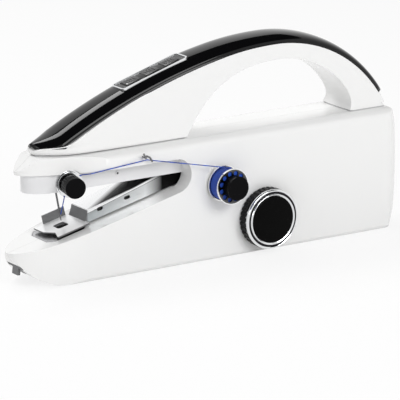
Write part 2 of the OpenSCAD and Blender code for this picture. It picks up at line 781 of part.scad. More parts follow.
// ---- handwheel and drive train ----
wheel_gap = 0.8;
wheel_y = -half_w - wheel_gap;
ring_t = 3.2;
cap_t = 1.2;
cap_r = 14;
module handwheel() {
  color([0.06, 0.06, 0.06]) difference() {
    union() {
      rod_y(wheel_x, wheel_z, wheel_y - wheel_t + ring_t, wheel_y, wheel_d);
      rod_y(wheel_x, wheel_z, wheel_y - wheel_t + cap_t, wheel_y, 2 * cap_r - 1.2);
      rod_y(wheel_x, wheel_z, wheel_y - eps, wheel_y + 0.5, shaft_d + 4);
    }
    rod_y(wheel_x, wheel_z, wheel_y - wheel_t + cap_t + 2, half_w, shaft_d + 2 * seam);
    for (a = [0:10:350]) translate([wheel_x, wheel_y + over, wheel_z]) rotate([90, a, 0])
      translate([wheel_d / 2 + 0.25, 0, 0]) cylinder(d = 1.4, h = wheel_t - ring_t + over,
        $fn = 16);
  }
}
module wheel_ring_profile() {
  polygon(concat([[cap_r - 0.6 + seam, 0], [wheel_d / 2, 0]],
    arc([wheel_d / 2 - ring_t + 0.4, 0.4], ring_t - 0.4, 0, 90, 6),
    [[cap_r - 0.6 + seam, ring_t]]));
}
module handwheel_ring() {
  color("silver") translate([wheel_x, wheel_y - wheel_t + ring_t, wheel_z]) rotate([90, 0, 0])
    rotate_extrude($fn = 90) wheel_ring_profile();
}
module handwheel_cap() {
  color([0.04, 0.04, 0.04])
    rod_y(wheel_x, wheel_z, wheel_y - wheel_t, wheel_y - wheel_t + cap_t, 2 * cap_r - 1.2);
}
module main_shaft() {
  color("silver")
    rod_y(wheel_x, wheel_z, wheel_y - wheel_t + cap_t + 2, disc_y + crank_t, shaft_d);
}
module front_bush() {
  color("peru") difference() {
    rod_y(wheel_x, wheel_z, -half_w, -inner_y + bush_l, bush_d);
    rod_y(wheel_x, wheel_z, -half_w - over, 0, shaft_d + 2 * fit);
  }
}
module inner_bush() {
  color("peru") difference() {
    rod_y(wheel_x, wheel_z, web_y, web_y + web_t, bush_d);
    rod_y(wheel_x, wheel_z, web_y - over, web_y + web_t + over, shaft_d + 2 * fit);
  }
}
// spur gear: slim straight-sided teeth, one tooth centred on the +X axis
function gear_pts(n) = let (r = pitch_r(n), p = 360 / n)
  [for (i = [0:n - 1]) for (k = [[-0.27, -1.15], [-0.12, 0.85], [0.12, 0.85], [0.27, -1.15]])
    let (a = (i + k[0]) * p, q = r + k[1] * gear_m) [q * cos(a), q * sin(a)]];
module gear_at(c, n, a, y0, bore) {
  translate([c[0], y0 + gear_t, c[1]]) rotate([90, 0, 0]) difference() {
    linear_extrude(gear_t) rotate(a) polygon(gear_pts(n));
    translate([0, 0, -over]) cylinder(d = bore, h = gear_t + 2 * over);
  }
}
module drive_gear() {
  color("ivory") gear_at([wheel_x, wheel_z], teeth_drive, mesh1_a, gear_y, shaft_d + 2 * seam);
}
module idler_gear() {
  color("ivory") difference() {
    union() {
      gear_at(idler, teeth_small, mesh1_a + 180 + 180 / teeth_small, gear_y, 1);
      gear_at(idler, teeth_large, mesh2_a, large_y, 1);
      rod_y(idler[0], idler[1], large_y, gear_y + gear_t, idler_d + 2.4);
    }
    rod_y(idler[0], idler[1], large_y - over, 0, idler_d + 2 * fit);
  }
}
module idler_pin() {
  color("silver") {
    rod_y(idler[0], idler[1], -inner_y, gear_y + gear_t + 0.3, idler_d);
    rod_y(idler[0], idler[1], gear_y + gear_t + 0.3, gear_y + gear_t + 0.5, idler_d + 1.6);
  }
}
module motor_pinion() {
  color("gold") gear_at(motor_c, teeth_pinion, mesh2_a + 180 + 180 / teeth_pinion, large_y,
    2 + 2 * seam);
}
module motor() {
  color("silver") {
    intersection() {
      rod_y(motor_c[0], motor_c[1], motor_y, motor_y + motor_l, motor_d);
      box(motor_c[0] - motor_flat / 2, motor_c[0] + motor_flat / 2, -half_w, half_w, 0, deck_z);
    }
    rod_y(motor_c[0], motor_c[1], motor_y - 1, motor_y, 6);
  }
}
module motor_shaft() {
  color("silver") rod_y(motor_c[0], motor_c[1], large_y - 0.5, motor_y - 1 - play, 2);
}
module motor_bracket() {
  y0 = motor_y + motor_l;
  color("gray") difference() {
    box(motor_c[0] - motor_flat / 2 - 1.6, motor_c[0] + motor_flat / 2 + 1.6, y0 - 6, inner_y,
      motor_c[1] - 4, motor_c[1] + 7);
    box(motor_c[0] - motor_flat / 2, motor_c[0] + motor_flat / 2, y0 - 6 - over, y0,
      motor_c[1] - 8, motor_c[1] + 8);
    box(motor_c[0] - motor_flat / 2, motor_c[0] + motor_flat / 2, y0 + 1.4, inner_y + over,
      motor_c[1] - 5, motor_c[1] + 5);
  }
}
crank_pin = [wheel_x, wheel_z] + crank_throw * [cos(crank_a), sin(crank_a)];
module crank_disc() {
  color("dimgray") {
    difference() {
      rod_y(wheel_x, wheel_z, disc_y, disc_y + crank_t, 2 * crank_throw + 6);
      rod_y(wheel_x, wheel_z, disc_y - over, disc_y + crank_t + over, shaft_d + 2 * seam);
    }
    rod_y(crank_pin[0], crank_pin[1], disc_y + crank_t, conrod_y - play, crank_pin_d);
  }
}
module looper_cam() {
  color("dimgray") difference() {
    rod_y(wheel_x + cam_throw, wheel_z, cam_y, cam_y + cam_t, cam_d);
    rod_y(wheel_x, wheel_z, cam_y - over, cam_y + cam_t + over, shaft_d + 2 * seam);
  }
}

// ---- needle arm, a lever that the connecting rod rocks ----
module needle_arm() {
  color("lightgray") difference() {
    ext_y(-arm_t / 2, arm_t / 2) difference() {
      union() {
        bar(clamp, pivot, arm_h);
        bar(pivot, rod_pin, rear_arm_h);
        disc(pivot, pivot_d + 2.8);
        disc(rod_pin, rod_pin_d + 2.2);
        disc(clamp, clamp_d + 3);
      }
      disc(pivot, pivot_d + 2 * fit);
      disc(rod_pin, rod_pin_d + 2 * fit);
    }
    along_needle() translate([0, 0, -10]) cylinder(d = clamp_d + 2 * seam, h = 20);
  }
}
module arm_pivot_pin() {
  color("silver") rod_y(pivot[0], pivot[1], -inner_y + 1, inner_y - 1, pivot_d);
}
clamp_d = 4;
module along_needle() {
  translate([clamp[0], 0, clamp[1]]) rotate([0, -needle_lean, 0]) children();
}
module needle_clamp() {
  color("silver") along_needle() difference() {
    union() {
      translate([0, 0, -3.4]) cylinder(d = clamp_d, h = 6.8);
      translate([0, 0, -8]) cylinder(d = 4.8, h = 4.6);
    }
    translate([0, 0, -8 - over]) cylinder(d = needle_d + 2 * seam, h = 13);
    translate([0, 0, -5.7]) rotate([90, 0, 0]) cylinder(d = 1.6 + 2 * seam, h = 5);
  }
}
module clamp_screw() {
  color("dimgray") along_needle() translate([0, 0, -5.7]) rotate([90, 0, 0]) {
    translate([0, 0, needle_d / 2 + 0.05]) cylinder(d = 1.6, h = 2.1);
    translate([0, 0, needle_d / 2 + 2.15]) cylinder(d = 3, h = 1.4);
  }
}
needle_eye = 4.2;                     // eye above the tip
module needle() {
  color("silver") along_needle() difference() {
    union() {
      translate([0, 0, -clamp_up]) cylinder(d1 = 0.3, d2 = needle_d - 0.5, h = 3);
      translate([0, 0, -clamp_up + 3]) cylinder(d = needle_d - 0.5, h = 14);
      translate([0, 0, -clamp_up + 17]) cylinder(d = needle_d, h = clamp_up - 14);
    }
    translate([0, 0, needle_eye - clamp_up]) rotate([90, 0, 0]) translate([0, 0, -over])
      cylinder(d = 0.5, h = 2 * over, $fn = 16);
  }
}
module connecting_rod() {
  color("lightgray") {
    ext_y(conrod_y, conrod_y + conrod_t) difference() {
      union() {
        bar(rod_pin, crank_pin, 3.6);
        disc(rod_pin, rod_pin_d + 2.4);
        disc(crank_pin, crank_pin_d + 4);
      }
      disc(crank_pin, crank_pin_d + 2 * fit);
    }
    rod_y(rod_pin[0], rod_pin[1], -arm_t / 2 - 0.4, conrod_y + eps, rod_pin_d);
  }
}

// ---- steel parts on the lower arm ----
module needle_plate() {
  color("lightgray") on_arm(needle_x - 1, -pocket_d) difference() {
    lozenge(plate_len - 2 * play, plate_wid - 2 * play, pocket_d - 0.1);
    translate([1 + needle_shift, 0, -over]) round_box(needle_hole + 1, 4.4, 2, 4);
  }
}
// the presser arm is drawn on the slope of the lower arm with its origin at the needle hole
step_x = 11.5;
step_h = 5.2;
channel_rise = 4;                     // extra slope of the channel, in degrees
slot_h = 1.9;                         // height of the lightening slots
slot_run = 1;                         // half the distance between their round ends
needle_hole = 7;                      // length of the needle hole
needle_shift = 0.7;                   // the needle swings back as it goes down
channel_len = (presser_pivot[0] - needle_x) / cos(arm_slope) + 4;
module presser_arm() {
  lift = plate_lift;
  w = presser_w;
  color("silver") difference() {
    union() {
      on_arm(needle_x, lift) {
        // flat fabric plate with a finger flange on its far edge
        linear_extrude(sheet) polygon([[-10.6, 11], [-10.6, 1], [-7, -6], [-9.4, -12.6],
          [step_x, -12.6], [step_x, 11]]);
        translate([-4.4, 11 - sheet, 0]) cube([14.4, sheet, 6]);
        // the step up to the channel
        ext_y(-w / 2, w / 2) bar([step_x - sheet / 2, 0.2], [step_x + 3.4, step_h - 0.3], sheet);
      }
      difference() {
        channel_block(0);
        channel_block(sheet);
      }
    }
    // needle hole
    on_arm(needle_x, lift - over) translate([needle_shift, 0, 0])
      round_box(needle_hole, 7, 1.6, 4);
    // lightening slots in the side walls
    for (x = [20.5, 38]) on_arm(needle_x + x, 5.2) ext_y(-w, w) {
      bar([-slot_run, 0], [slot_run, 0], slot_h);
      for (s = [-1, 1]) disc([s * slot_run, 0], slot_h);
    }
    rod_y(presser_pivot[0], presser_pivot[1], -w, w, presser_pin_d + 2 * fit);
  }
}
module channel_block(d) {
  w = presser_w;
  x0 = step_x + 3 + d;
  x1 = channel_len - d;
  on_arm(needle_x, 0) ext_y(-w / 2 + d, w / 2 - d) polygon([
    [x0 - 3.0, plate_lift - 0.6 - 2 * d], [x0, plate_lift + step_h - 0.2 - d],
    [x1, plate_lift + step_h - d + (x1 - x0) * tan(channel_rise)],
    [x1 + (d > 0 ? 2 * over : 0), plate_lift - 0.6 - 2 * d]]);
}
module presser_pin() {
  color("silver")
    rod_y(presser_pivot[0], presser_pivot[1], -inner_y + 1, inner_y - 1, presser_pin_d);
}
module presser_spring() {
  color("dimgray") translate([presser_pivot[0], 0, presser_pivot[1]]) rotate([90, 0, 0])
    for (i = [-3:3]) translate([0, 0, i * 1.05]) rotate_extrude($fn = 36)
      translate([presser_pin_d / 2 + 0.8, 0]) circle(d = 1, $fn = 16);
}

// ---- looper ----
module looper() {
  c = looper_c;
  color("silver") ext_y(looper_y, looper_y + looper_t) difference() {
    union() {
      disc(c, 6);
      translate([c[0] - 1.3, c[1] - looper_arm]) square([2.6, looper_arm]);
      disc([c[0], c[1] - looper_arm], 2.6);
      polygon([[c[0] - 2, c[1] + 1], [c[0] + 1.6, c[1] + 2], [c[0] - 1, c[1] + 5.6],
        [c[0] - 13, c[1] + 7.4], [c[0] - 17.5, c[1] + 7], [c[0] - 13, c[1] + 5.8],
        [c[0] - 3.4, c[1] + 3.6]]);
    }
    disc(c, looper_pin_d + 2 * fit);
  }
}
module looper_pin() {
  color("silver") rod_y(looper_c[0], looper_c[1], -inner_y + 1, inner_y - 1, looper_pin_d);
}
rod_end_x = wheel_x - cam_d / 2 - 2 * cam_throw - 0.6;
module looper_rod() {
  z = rod_z + looper_rise;
  x0 = looper_c[0] - 3;
  color("lightgray") {
    translate([x0, looper_rod_y, z]) rotate([0, 90, 0]) cylinder(d = looper_rod_d,
      h = rod_end_x - x0);
    // fork that holds the foot of the looper
    for (s = [-1, 1]) {
      x = looper_c[0] + s * (1.3 + 2 * play + 0.8);
      box(x - 0.8, x + 0.8, looper_y + 0.2, looper_rod_y, rod_z - 1.2, rod_z + 1.2);
      box(x - 0.8, x + 0.8, looper_y + looper_t + 2 * play, looper_rod_y, rod_z - 1.2, z);
    }
    // pad that the cam pushes
    box(rod_end_x - 2, rod_end_x, cam_y, looper_rod_y + 1, z - 3, wheel_z + 3);
  }
}

// ---- slide plate under the looper ----
module slide_plate() {
  color("darkgray") along_slide() {
    box(0, slide_l, -slide_w / 2, slide_w / 2, 0, slide_t);
    box(0, 1.6, -3, 3, -4, 0);
    box(1.6, 6, -3, 3, -0.8, 0);
  }
}

// ---- bobbin ----
spindle_root_d = 4;
bobbin_y = -half_w - 1.5;
flange_t = 0.8;
hub_d = bobbin_bore + 2;
cap_l = 5.5;
module bobbin_spindle() {
  color("silver") {
    rod_y(bobbin_x, bobbin_z, -half_w, -inner_y + 4, spindle_root_d);
    rod_y(bobbin_x, bobbin_z, bobbin_y + play, -half_w, bobbin_bore + 2);
    rod_y(bobbin_x, bobbin_z, bobbin_y - bobbin_l, bobbin_y + play, bobbin_bore - 2 * fit);
    rod_y(bobbin_x, bobbin_z, bobbin_y - bobbin_l - cap_l + 1.6, bobbin_y - bobbin_l, 4);
  }
}
hole_ring = 0.736 * bobbin_d / 2;
module bobbin_flange(y) {
  difference() {
    rod_y(bobbin_x, bobbin_z, y, y + flange_t, bobbin_d);
    for (i = [0:11]) translate([bobbin_x, y + flange_t + over, bobbin_z]) rotate([90, 0, 0])
      rotate(30 * i + 15) translate([hole_ring, 0, 0]) cylinder(d = 2.9, h = 4, $fn = 24);
  }
}
module bobbin() {
  color("silver") difference() {
    union() {
      bobbin_flange(bobbin_y - bobbin_l);
      bobbin_flange(bobbin_y - flange_t);
      rod_y(bobbin_x, bobbin_z, bobbin_y - bobbin_l, bobbin_y, hub_d);
    }
    rod_y(bobbin_x, bobbin_z, bobbin_y - bobbin_l - over, bobbin_y + over, bobbin_bore);
  }
}
module bobbin_thread() {
  color([0.15, 0.27, 0.65]) difference() {
    rod_y(bobbin_x, bobbin_z, bobbin_y - bobbin_l + flange_t, bobbin_y - flange_t, wound_d);
    rod_y(bobbin_x, bobbin_z, bobbin_y - bobbin_l, bobbin_y, hub_d);
  }
}
module bobbin_cap() {
  y1 = bobbin_y - bobbin_l - play;
  color([0.05, 0.05, 0.05]) difference() {
    rod_y(bobbin_x, bobbin_z, y1 - cap_l + play, y1, cap_d);
    rod_y(bobbin_x, bobbin_z, bobbin_y - bobbin_l - cap_l + 1.3, 0, 4 + 2 * fit);
  }
}

// ---- thread guide: two wire prongs out of the side band ----
guide_x = wheel_x - 79.5;
guide_z = throat_z + 4.6;
guide_d = 1;
module guide_holes() {
  for (s = [-1, 1]) rod_y(guide_x + s * 1.3, guide_z, -half_w - over, -inner_y + 1,
    guide_d + 2 * seam);
}
module thread_guide() {
  color("silver") for (s = [-1, 1]) {
    rod_y(guide_x + s * 1.3, guide_z, -half_w - 3.2, -inner_y, guide_d);
    translate([guide_x + s * 1.3, -half_w - 3.2, guide_z]) sphere(d = guide_d, $fn = 24);
    translate([guide_x + s * 1.3, -half_w - 3.2, guide_z]) rotate([0, s < 0 ? -30 : 150, 0])
      cylinder(d = guide_d, h = 3);
  }
}

// ---- thread tension ----
module tension_stud() {
  color("silver") on_stud() {
    translate([0, 0, -casing_wall - 1.5])
      cylinder(d = stud_d, h = casing_wall + 1.5 + knob_at + knob_l - 3);
    translate([0, 0, -casing_wall - 2.7]) cylinder(d = 6, h = 1.1);
  }
}
module tension_discs() {
  color("silver") on_stud() difference() {
    union() {
      translate([0, 0, disc_at]) cylinder(d = disc_d, h = disc_t);
      translate([0, 0, disc_at + disc_t + disc_gap]) cylinder(d = disc_d - 1.6, h = disc_t);
      translate([0, 0, spacer_at]) cylinder(d = spacer_d, h = disc_at - spacer_at);
      translate([0, 0, disc_at + disc_t]) cylinder(d = 4.4, h = disc_gap);
    }
    translate([0, 0, -over]) cylinder(d = stud_d + 2 * fit, h = 8);
  }
}
module tension_spring() {
  color("silver") on_stud() for (i = [0:1]) translate([0, 0, spring_at + 0.4 + 0.62 * i])
    rotate_extrude($fn = 36) translate([3.1, 0]) circle(d = 0.6, $fn = 16);
}
module tension_knob() {
  color([0.05, 0.05, 0.05]) on_stud() difference() {
    translate([0, 0, knob_at]) cylinder(d = knob_d, h = knob_l);
    translate([0, 0, knob_at - over]) cylinder(d = stud_d + 2 * fit, h = knob_l - 1.2);
    for (a = [0:15:345]) rotate(a) translate([knob_d / 2 + 0.2, 0, knob_at - over])
      cylinder(d = 0.9, h = knob_l, $fn = 16);
  }
}

// ---- thread, held taut from the bobbin to the needle ----
thread_d = 0.6;
wound_r = wound_d / 2 + thread_d / 2 + 0.08;
guide_p = [guide_x, -half_w - 2, guide_z - 1.4];
to_bobbin = [bobbin_x - guide_p[0], bobbin_z - guide_p[2]];
touch_a = atan2(to_bobbin[1], to_bobbin[0]) + asin(wound_r / norm(to_bobbin));
leave_p = [bobbin_x - wound_r * sin(touch_a), bobbin_y - bobbin_l / 2,
  bobbin_z + wound_r * cos(touch_a)];
function stud_point(h, v, out) = let (c = cos(stud_turn), s = sin(stud_turn))
  stud_foot + [h * c - out * s, -h * s - out * c, v];
nip = disc_at + disc_t + disc_gap / 2;
edge_p = [needle_x + 8.4, -head_half_w(needle_x + 8.4) - 1, throat_z - 0.7];
enter_p = stud_point(7.2, 4.6, nip);
nip_route = [for (a = [50:35:225]) stud_point(2.9 * cos(a), 2.9 * sin(a), nip)];
drop_p = stud_point(-3.4, -8.2, nip);
eye_p = [tip[0] + needle_eye * lean[0], -needle_d / 2 - 0.3, tip[1] + needle_eye * lean[1]];
module thread_upper() {
  color([0.17, 0.29, 0.6])
    tube(concat([leave_p, guide_p, edge_p, enter_p], nip_route, [drop_p]), thread_d);
}
module thread_lower() {
  color([0.17, 0.29, 0.6]) tube([drop_p + [0, 0, -0.05], (drop_p + eye_p) / 2, eye_p], thread_d);
}

// ---- power ----
module battery_tray() {
  x1 = cell_x + cell_l + tray_wall + 0.6;
  color("dimgray") {
    box(tray_x, tray_x + tray_wall, -inner_y + 2, inner_y - 2, wall, wall + tray_h);
    box(x1 - tray_wall, x1, -inner_y + 2, inner_y - 2, wall, wall + tray_h);
    box(tray_x + tray_wall, x1 - tray_wall, -inner_y + 2, -inner_y + 2.8, wall, wall + tray_h);
    box(tray_x + tray_wall, x1 - tray_wall, -inner_y + 2.8, inner_y - 2, wall, wall + 0.8);
  }
}
module battery_cells() {
  color("darkseagreen") for (y = [-1, 1], i = [0, 1])
    translate([cell_x, y * cell_y, cell_z[i]]) rotate([0, 90, 0]) {
      cylinder(d = cell_d, h = cell_l - 1.2);
      translate([0, 0, cell_l - 1.2]) cylinder(d = 5.4, h = 1.2);
    }
}
module contact_springs() {
  color("silver") for (y = [-1, 1], i = [0, 1])
    translate([tray_x + tray_wall, y * cell_y, cell_z[i]]) rotate([0, 90, 0]) difference() {
      cylinder(d = 9, h = spring_gap);
      translate([0, 0, -over]) cylinder(d = 6.4, h = spring_gap + 2 * over);
    }
}
module contact_plates() {
  x1 = cell_x + cell_l;
  color("silver") for (y = [-1, 1])
    box(x1, x1 + 0.6, y * cell_y - 4, y * cell_y + 4, cell_z[0] - 4, cell_z[1] + 4);
}
door_gap = 0.3;
module battery_door() {
  color("white") difference() {
    box(door_x0 + door_gap, door_x1 - door_gap, inner_y, half_w, door_z0 + door_gap,
      door_z1 - door_gap);
    for (i = [0:3]) box(door_x0 + 5, door_x0 + 13, half_w - 0.5, half_w + over,
      (door_z0 + door_z1) / 2 - 5 + 3 * i, (door_z0 + door_z1) / 2 - 4 + 3 * i);
  }
}
module dc_socket() {
  color([0.1, 0.1, 0.1]) difference() {
    union() {
      rod_y(socket_c[0], socket_c[1], half_w - socket_l, half_w, socket_d);
      rod_y(socket_c[0], socket_c[1], inner_y - 1.4, inner_y - play / 3, socket_d + 3);
    }
    rod_y(socket_c[0], socket_c[1], half_w - socket_l + 1.5, half_w + over, 5.8);
  }
}

front_shell();
back_shell();
needle_casing();
handle_shell();
handle_cover();
panel_trim();
button_panel();
power_button();
speed_button();
lamp_button();
button_board();
housing_screws();
handle_screws();
casing_screw();
handwheel();
handwheel_ring();
handwheel_cap();
main_shaft();
drive_gear();
crank_disc();
looper_cam();
front_bush();
inner_bush();
idler_gear();
idler_pin();
motor();
motor_bracket();
motor_shaft();
motor_pinion();
needle_arm();
arm_pivot_pin();
connecting_rod();
needle_clamp();
clamp_screw();
needle();
needle_plate();
presser_arm();
presser_pin();
presser_spring();
looper();
looper_pin();
looper_rod();
slide_plate();
bobbin_spindle();
bobbin();
bobbin_thread();
bobbin_cap();
thread_guide();
tension_stud();
tension_discs();
tension_spring();
tension_knob();
thread_upper();
thread_lower();
battery_tray();
battery_cells();
contact_springs();
contact_plates();
battery_door();
dc_socket();
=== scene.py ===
import json
import math
import bpy
import bmesh
from mathutils import Matrix, Vector


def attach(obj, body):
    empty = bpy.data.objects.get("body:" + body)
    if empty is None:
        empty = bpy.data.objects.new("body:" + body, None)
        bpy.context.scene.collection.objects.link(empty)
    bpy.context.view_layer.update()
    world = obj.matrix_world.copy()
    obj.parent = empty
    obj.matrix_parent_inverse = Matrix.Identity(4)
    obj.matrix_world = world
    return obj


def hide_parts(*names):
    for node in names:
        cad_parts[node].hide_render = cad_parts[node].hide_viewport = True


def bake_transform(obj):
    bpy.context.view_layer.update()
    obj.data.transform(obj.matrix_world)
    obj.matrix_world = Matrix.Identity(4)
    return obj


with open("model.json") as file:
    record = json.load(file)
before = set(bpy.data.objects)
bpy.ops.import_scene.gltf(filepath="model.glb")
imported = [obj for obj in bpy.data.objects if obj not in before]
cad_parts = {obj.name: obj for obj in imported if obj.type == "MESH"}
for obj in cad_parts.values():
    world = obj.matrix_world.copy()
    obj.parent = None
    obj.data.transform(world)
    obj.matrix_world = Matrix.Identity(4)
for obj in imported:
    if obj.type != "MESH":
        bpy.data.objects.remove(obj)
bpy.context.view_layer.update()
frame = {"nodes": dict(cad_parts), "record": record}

# ---- studio ----
# A pale table top under a white surround, with a broad softbox over the control
# side, a weaker one by the nose and a long strip lamp overhead. A black flag above
# the object shows only in reflections.
scene = bpy.context.scene
scene.view_settings.view_transform = "Standard"
view_turn, view_rise = math.radians(-33.31), math.radians(15.14)
towards_eye = Vector((math.sin(view_turn) * math.cos(view_rise),
                      -math.cos(view_turn) * math.cos(view_rise), math.sin(view_rise)))


def add_object(name, data):
    made = bpy.data.objects.new(name, data)
    scene.collection.objects.link(made)
    return made


camera = add_object("camera", bpy.data.cameras.new("camera"))
camera.data.angle = math.radians(5.814)
camera.location = (-1.17239, -1.78226, 0.60666)
camera.rotation_euler = (-towards_eye).to_track_quat("-Z", "Y").to_euler()
scene.camera = camera


def softbox(name, place, aim, width, height, watts):
    lamp = add_object(name, bpy.data.lights.new(name, "AREA"))
    lamp.data.shape = "RECTANGLE"
    lamp.data.size, lamp.data.size_y = width, height
    lamp.data.energy = watts
    lamp.location = place
    lamp.rotation_euler = (Vector(aim) - Vector(place)).to_track_quat("-Z", "Y").to_euler()


middle = (0, 0, 0.05)
softbox("key_softbox", (0.1, -1.3, 0.8), middle, 1.0, 0.6, 11.3)
softbox("nose_softbox", (-1.3, -0.3, 0.6), middle, 0.5, 0.5, 2.0)
softbox("strip_lamp", (-0.25, 0.55, 0.98), middle, 1.1, 0.26, 7.0)
flag_form = bmesh.new()
bmesh.ops.create_grid(flag_form, x_segments=1, y_segments=1, size=1.0)
bmesh.ops.scale(flag_form, vec=(1.3, 1.3, 1), verts=flag_form.verts)
bmesh.ops.translate(flag_form, vec=(0, -0.05, 1.25), verts=flag_form.verts)
flag_mesh = bpy.data.meshes.new("black_flag")
flag_form.to_mesh(flag_mesh)
black_flag = add_object("black_flag", flag_mesh)
for ray in ("camera", "diffuse", "transmission", "shadow"):
    setattr(black_flag, "visible_" + ray, False)


class Value:
    """A shader socket that takes part in Python expressions."""

    def __init__(self, finish, socket):
        self.finish, self.socket = finish, socket

    def math(self, operation, *others):
        node = self.finish.tree.nodes.new("ShaderNodeMath")
        node.operation = operation
        for slot, value in zip(node.inputs, (self,) + others):
            if isinstance(value, Value):
                self.finish.tree.links.new(value.socket, slot)
            else:
                slot.default_value = value
        return Value(self.finish, node.outputs[0])

    def __add__(self, other):
        return self.math("ADD", other)

    __radd__ = __add__

    def __mul__(self, other):
        return self.math("MULTIPLY", other)

    __rmul__ = __mul__

    def __sub__(self, other):
        return self.math("SUBTRACT", other)

    def __rsub__(self, other):
        return (self * -1) + other

    def __truediv__(self, other):
        return self.math("DIVIDE", other)

    def __gt__(self, other):
        return self.math("GREATER_THAN", other)

    def __lt__(self, other):
        return self.math("LESS_THAN", other)


class Finish:
    """A material built on one Principled shader, with places in millimetres."""

    def __init__(self, name, colour, roughness, metallic=0.0, **fixed):
        self.material = bpy.data.materials.new(name)
        self.material.use_nodes = True
        self.tree = self.material.node_tree
        self.shader = self.tree.nodes["Principled BSDF"]
        for socket, value in [("Base Color", (*colour, 1)), ("Roughness", roughness),
                              ("Metallic", metallic)]:
            self.shader.inputs[socket].default_value = value
        for socket, value in fixed.items():
            self.shader.inputs[socket.replace("_", " ")].default_value = value
        self.material.diffuse_color = (*colour, 1)
        self._place = None

    def node(self, kind, settings, sockets, output=0):
        node = self.tree.nodes.new("ShaderNode" + kind)
        for name, value in settings.items():
            if name == "stops":
                for i, (at, level) in enumerate(value):
                    stop = node.color_ramp.elements
                    stop = stop[i] if i < 2 else stop.new(at)
                    stop.position, stop.color = at, (level, level, level, 1)
            else:
                setattr(node, name, value)
        for name, value in sockets.items():
            if isinstance(value, Value):
                self.tree.links.new(value.socket, node.inputs[name])
            else:
                node.inputs[name].default_value = value
        return Value(self, node.outputs[output])

    def place(self):
        """The Object coordinates in millimetres, as one vector."""
        if self._place is None:
            where = self.node("TexCoord", {}, {}, "Object")
            self._place = self.node("Mapping", {}, {"Vector": where,
                                                    "Scale": (1000, 1000, 1000)})
        return self._place

    def split(self, vector):
        """The three numbers that a vector is made of."""
        parts = self.node("SeparateXYZ", {}, {"Vector": vector}).socket.node
        return [Value(self, parts.outputs[i]) for i in range(3)]

    def xyz(self):
        return self.split(self.place())

    def distance(self, **axis):
        """Distance from an axis, given by its places on the two other ones."""
        places = dict(zip("xyz", self.xyz()))
        first, second = [places[name] - at for name, at in axis.items()]
        return (first * first + second * second).math("SQRT")

    def grain(self, size, detail=2.0, stretch=(1, 1, 1)):
        where = self.node("Mapping", {}, {"Vector": self.place(), "Scale": stretch})
        return self.node("TexNoise", {}, {"Vector": where, "Scale": 1 / size,
                                          "Detail": detail})

    def between(self, mask, low, high):
        """A colour that runs from low to high as the mask goes from 0 to 1."""
        return self.node("Mix", {"data_type": "RGBA"},
                         {0: mask, 6: low if isinstance(low, Value) else (*low, 1),
                          7: high if isinstance(high, Value) else (*high, 1)}, 2)

    def feed(self, socket, value):
        self.tree.links.new(value.socket, self.shader.inputs[socket])

    def bump(self, height, depth):
        """depth is what a height of 1 stands for, in millimetres"""
        self.feed("Normal", self.node("Bump", {}, {"Height": height, "Strength": 1.0,
                                                   "Distance": depth * 0.001}))

    def drift(self, size, span, low, detail=2.0, stretch=(1, 1, 1)):
        """Roughness that drifts over the surface between low and low + span."""
        self.feed("Roughness", self.grain(size, detail, stretch) * span + low)


surround = bpy.data.worlds.new("surround")
surround.use_nodes = True
scene.world = surround
tree = surround.node_tree
rays = tree.nodes.new("ShaderNodeLightPath")
seen = tree.nodes.new("ShaderNodeMath")
seen.operation = "ADD"
tree.links.new(rays.outputs["Is Camera Ray"], seen.inputs[0])
tree.links.new(rays.outputs["Is Glossy Ray"], seen.inputs[1])
seen_through = tree.nodes.new("ShaderNodeMath")
seen_through.operation = "ADD"
seen_through.use_clamp = True
tree.links.new(seen.outputs[0], seen_through.inputs[0])
tree.links.new(rays.outputs["Is Transmission Ray"], seen_through.inputs[1])
plain = tree.nodes["Background"]
plain.inputs["Color"].default_value = (1, 1, 1, 1)
plain.inputs["Strength"].default_value = 0.36
white = tree.nodes.new("ShaderNodeBackground")
white.inputs["Color"].default_value = (1, 1, 1, 1)
white.inputs["Strength"].default_value = 1.0
pick = tree.nodes.new("ShaderNodeMixShader")
tree.links.new(seen_through.outputs[0], pick.inputs[0])
tree.links.new(plain.outputs[0], pick.inputs[1])
tree.links.new(white.outputs[0], pick.inputs[2])
tree.links.new(pick.outputs[0], tree.nodes["World Output"].inputs["Surface"])

table_form = bmesh.new()
bmesh.ops.create_circle(table_form, cap_ends=True, segments=64, radius=3)
table_mesh = bpy.data.meshes.new("table_top")
table_form.to_mesh(table_mesh)
table_mesh.transform(Matrix.Translation((0, 0, -0.0002)))
table_top = add_object("table_top", table_mesh)
paper = Finish("table_paper", (0.9, 0.9, 0.9), 0.9)
glow = paper.node("Emission", {}, {"Color": (1, 1, 1, 1), "Strength": 1.0})
path = paper.node("LightPath", {}, {}, "Is Camera Ray")
glossy = paper.node("LightPath", {}, {}, "Is Glossy Ray")
through = paper.node("LightPath", {}, {}, "Is Transmission Ray")
share = (path + glossy + through) * 0.82
lit = paper.node("MixShader", {}, {0: share, 1: Value(paper, paper.shader.outputs[0]), 2: glow})
paper.tree.links.new(lit.socket, paper.tree.nodes["Material Output"].inputs["Surface"])
table_mesh.materials.append(paper.material)
felt = Finish("black_felt", (0.004, 0.004, 0.004), 1.0, Specular_IOR_Level=0.0)
flag_mesh.materials.append(felt.material)

# ---- body shells ----
# Two gloss ABS mouldings that meet on the middle plane and are held by five screws
# from the far side. The head carries a skirt that flares out over the throat.
body_of = {n: b for b, names in frame["record"]["behaviour"]["bodies"].items() for n in names}


def show(mesh, name, finish, node):
    """Puts a finished mesh in the scene in place of a CAD node, on that node's body."""
    mesh.materials.clear()
    mesh.materials.append(finish.material)
    piece = add_object(name, mesh)
    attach(piece, body_of[node])
    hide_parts(node)
    return piece


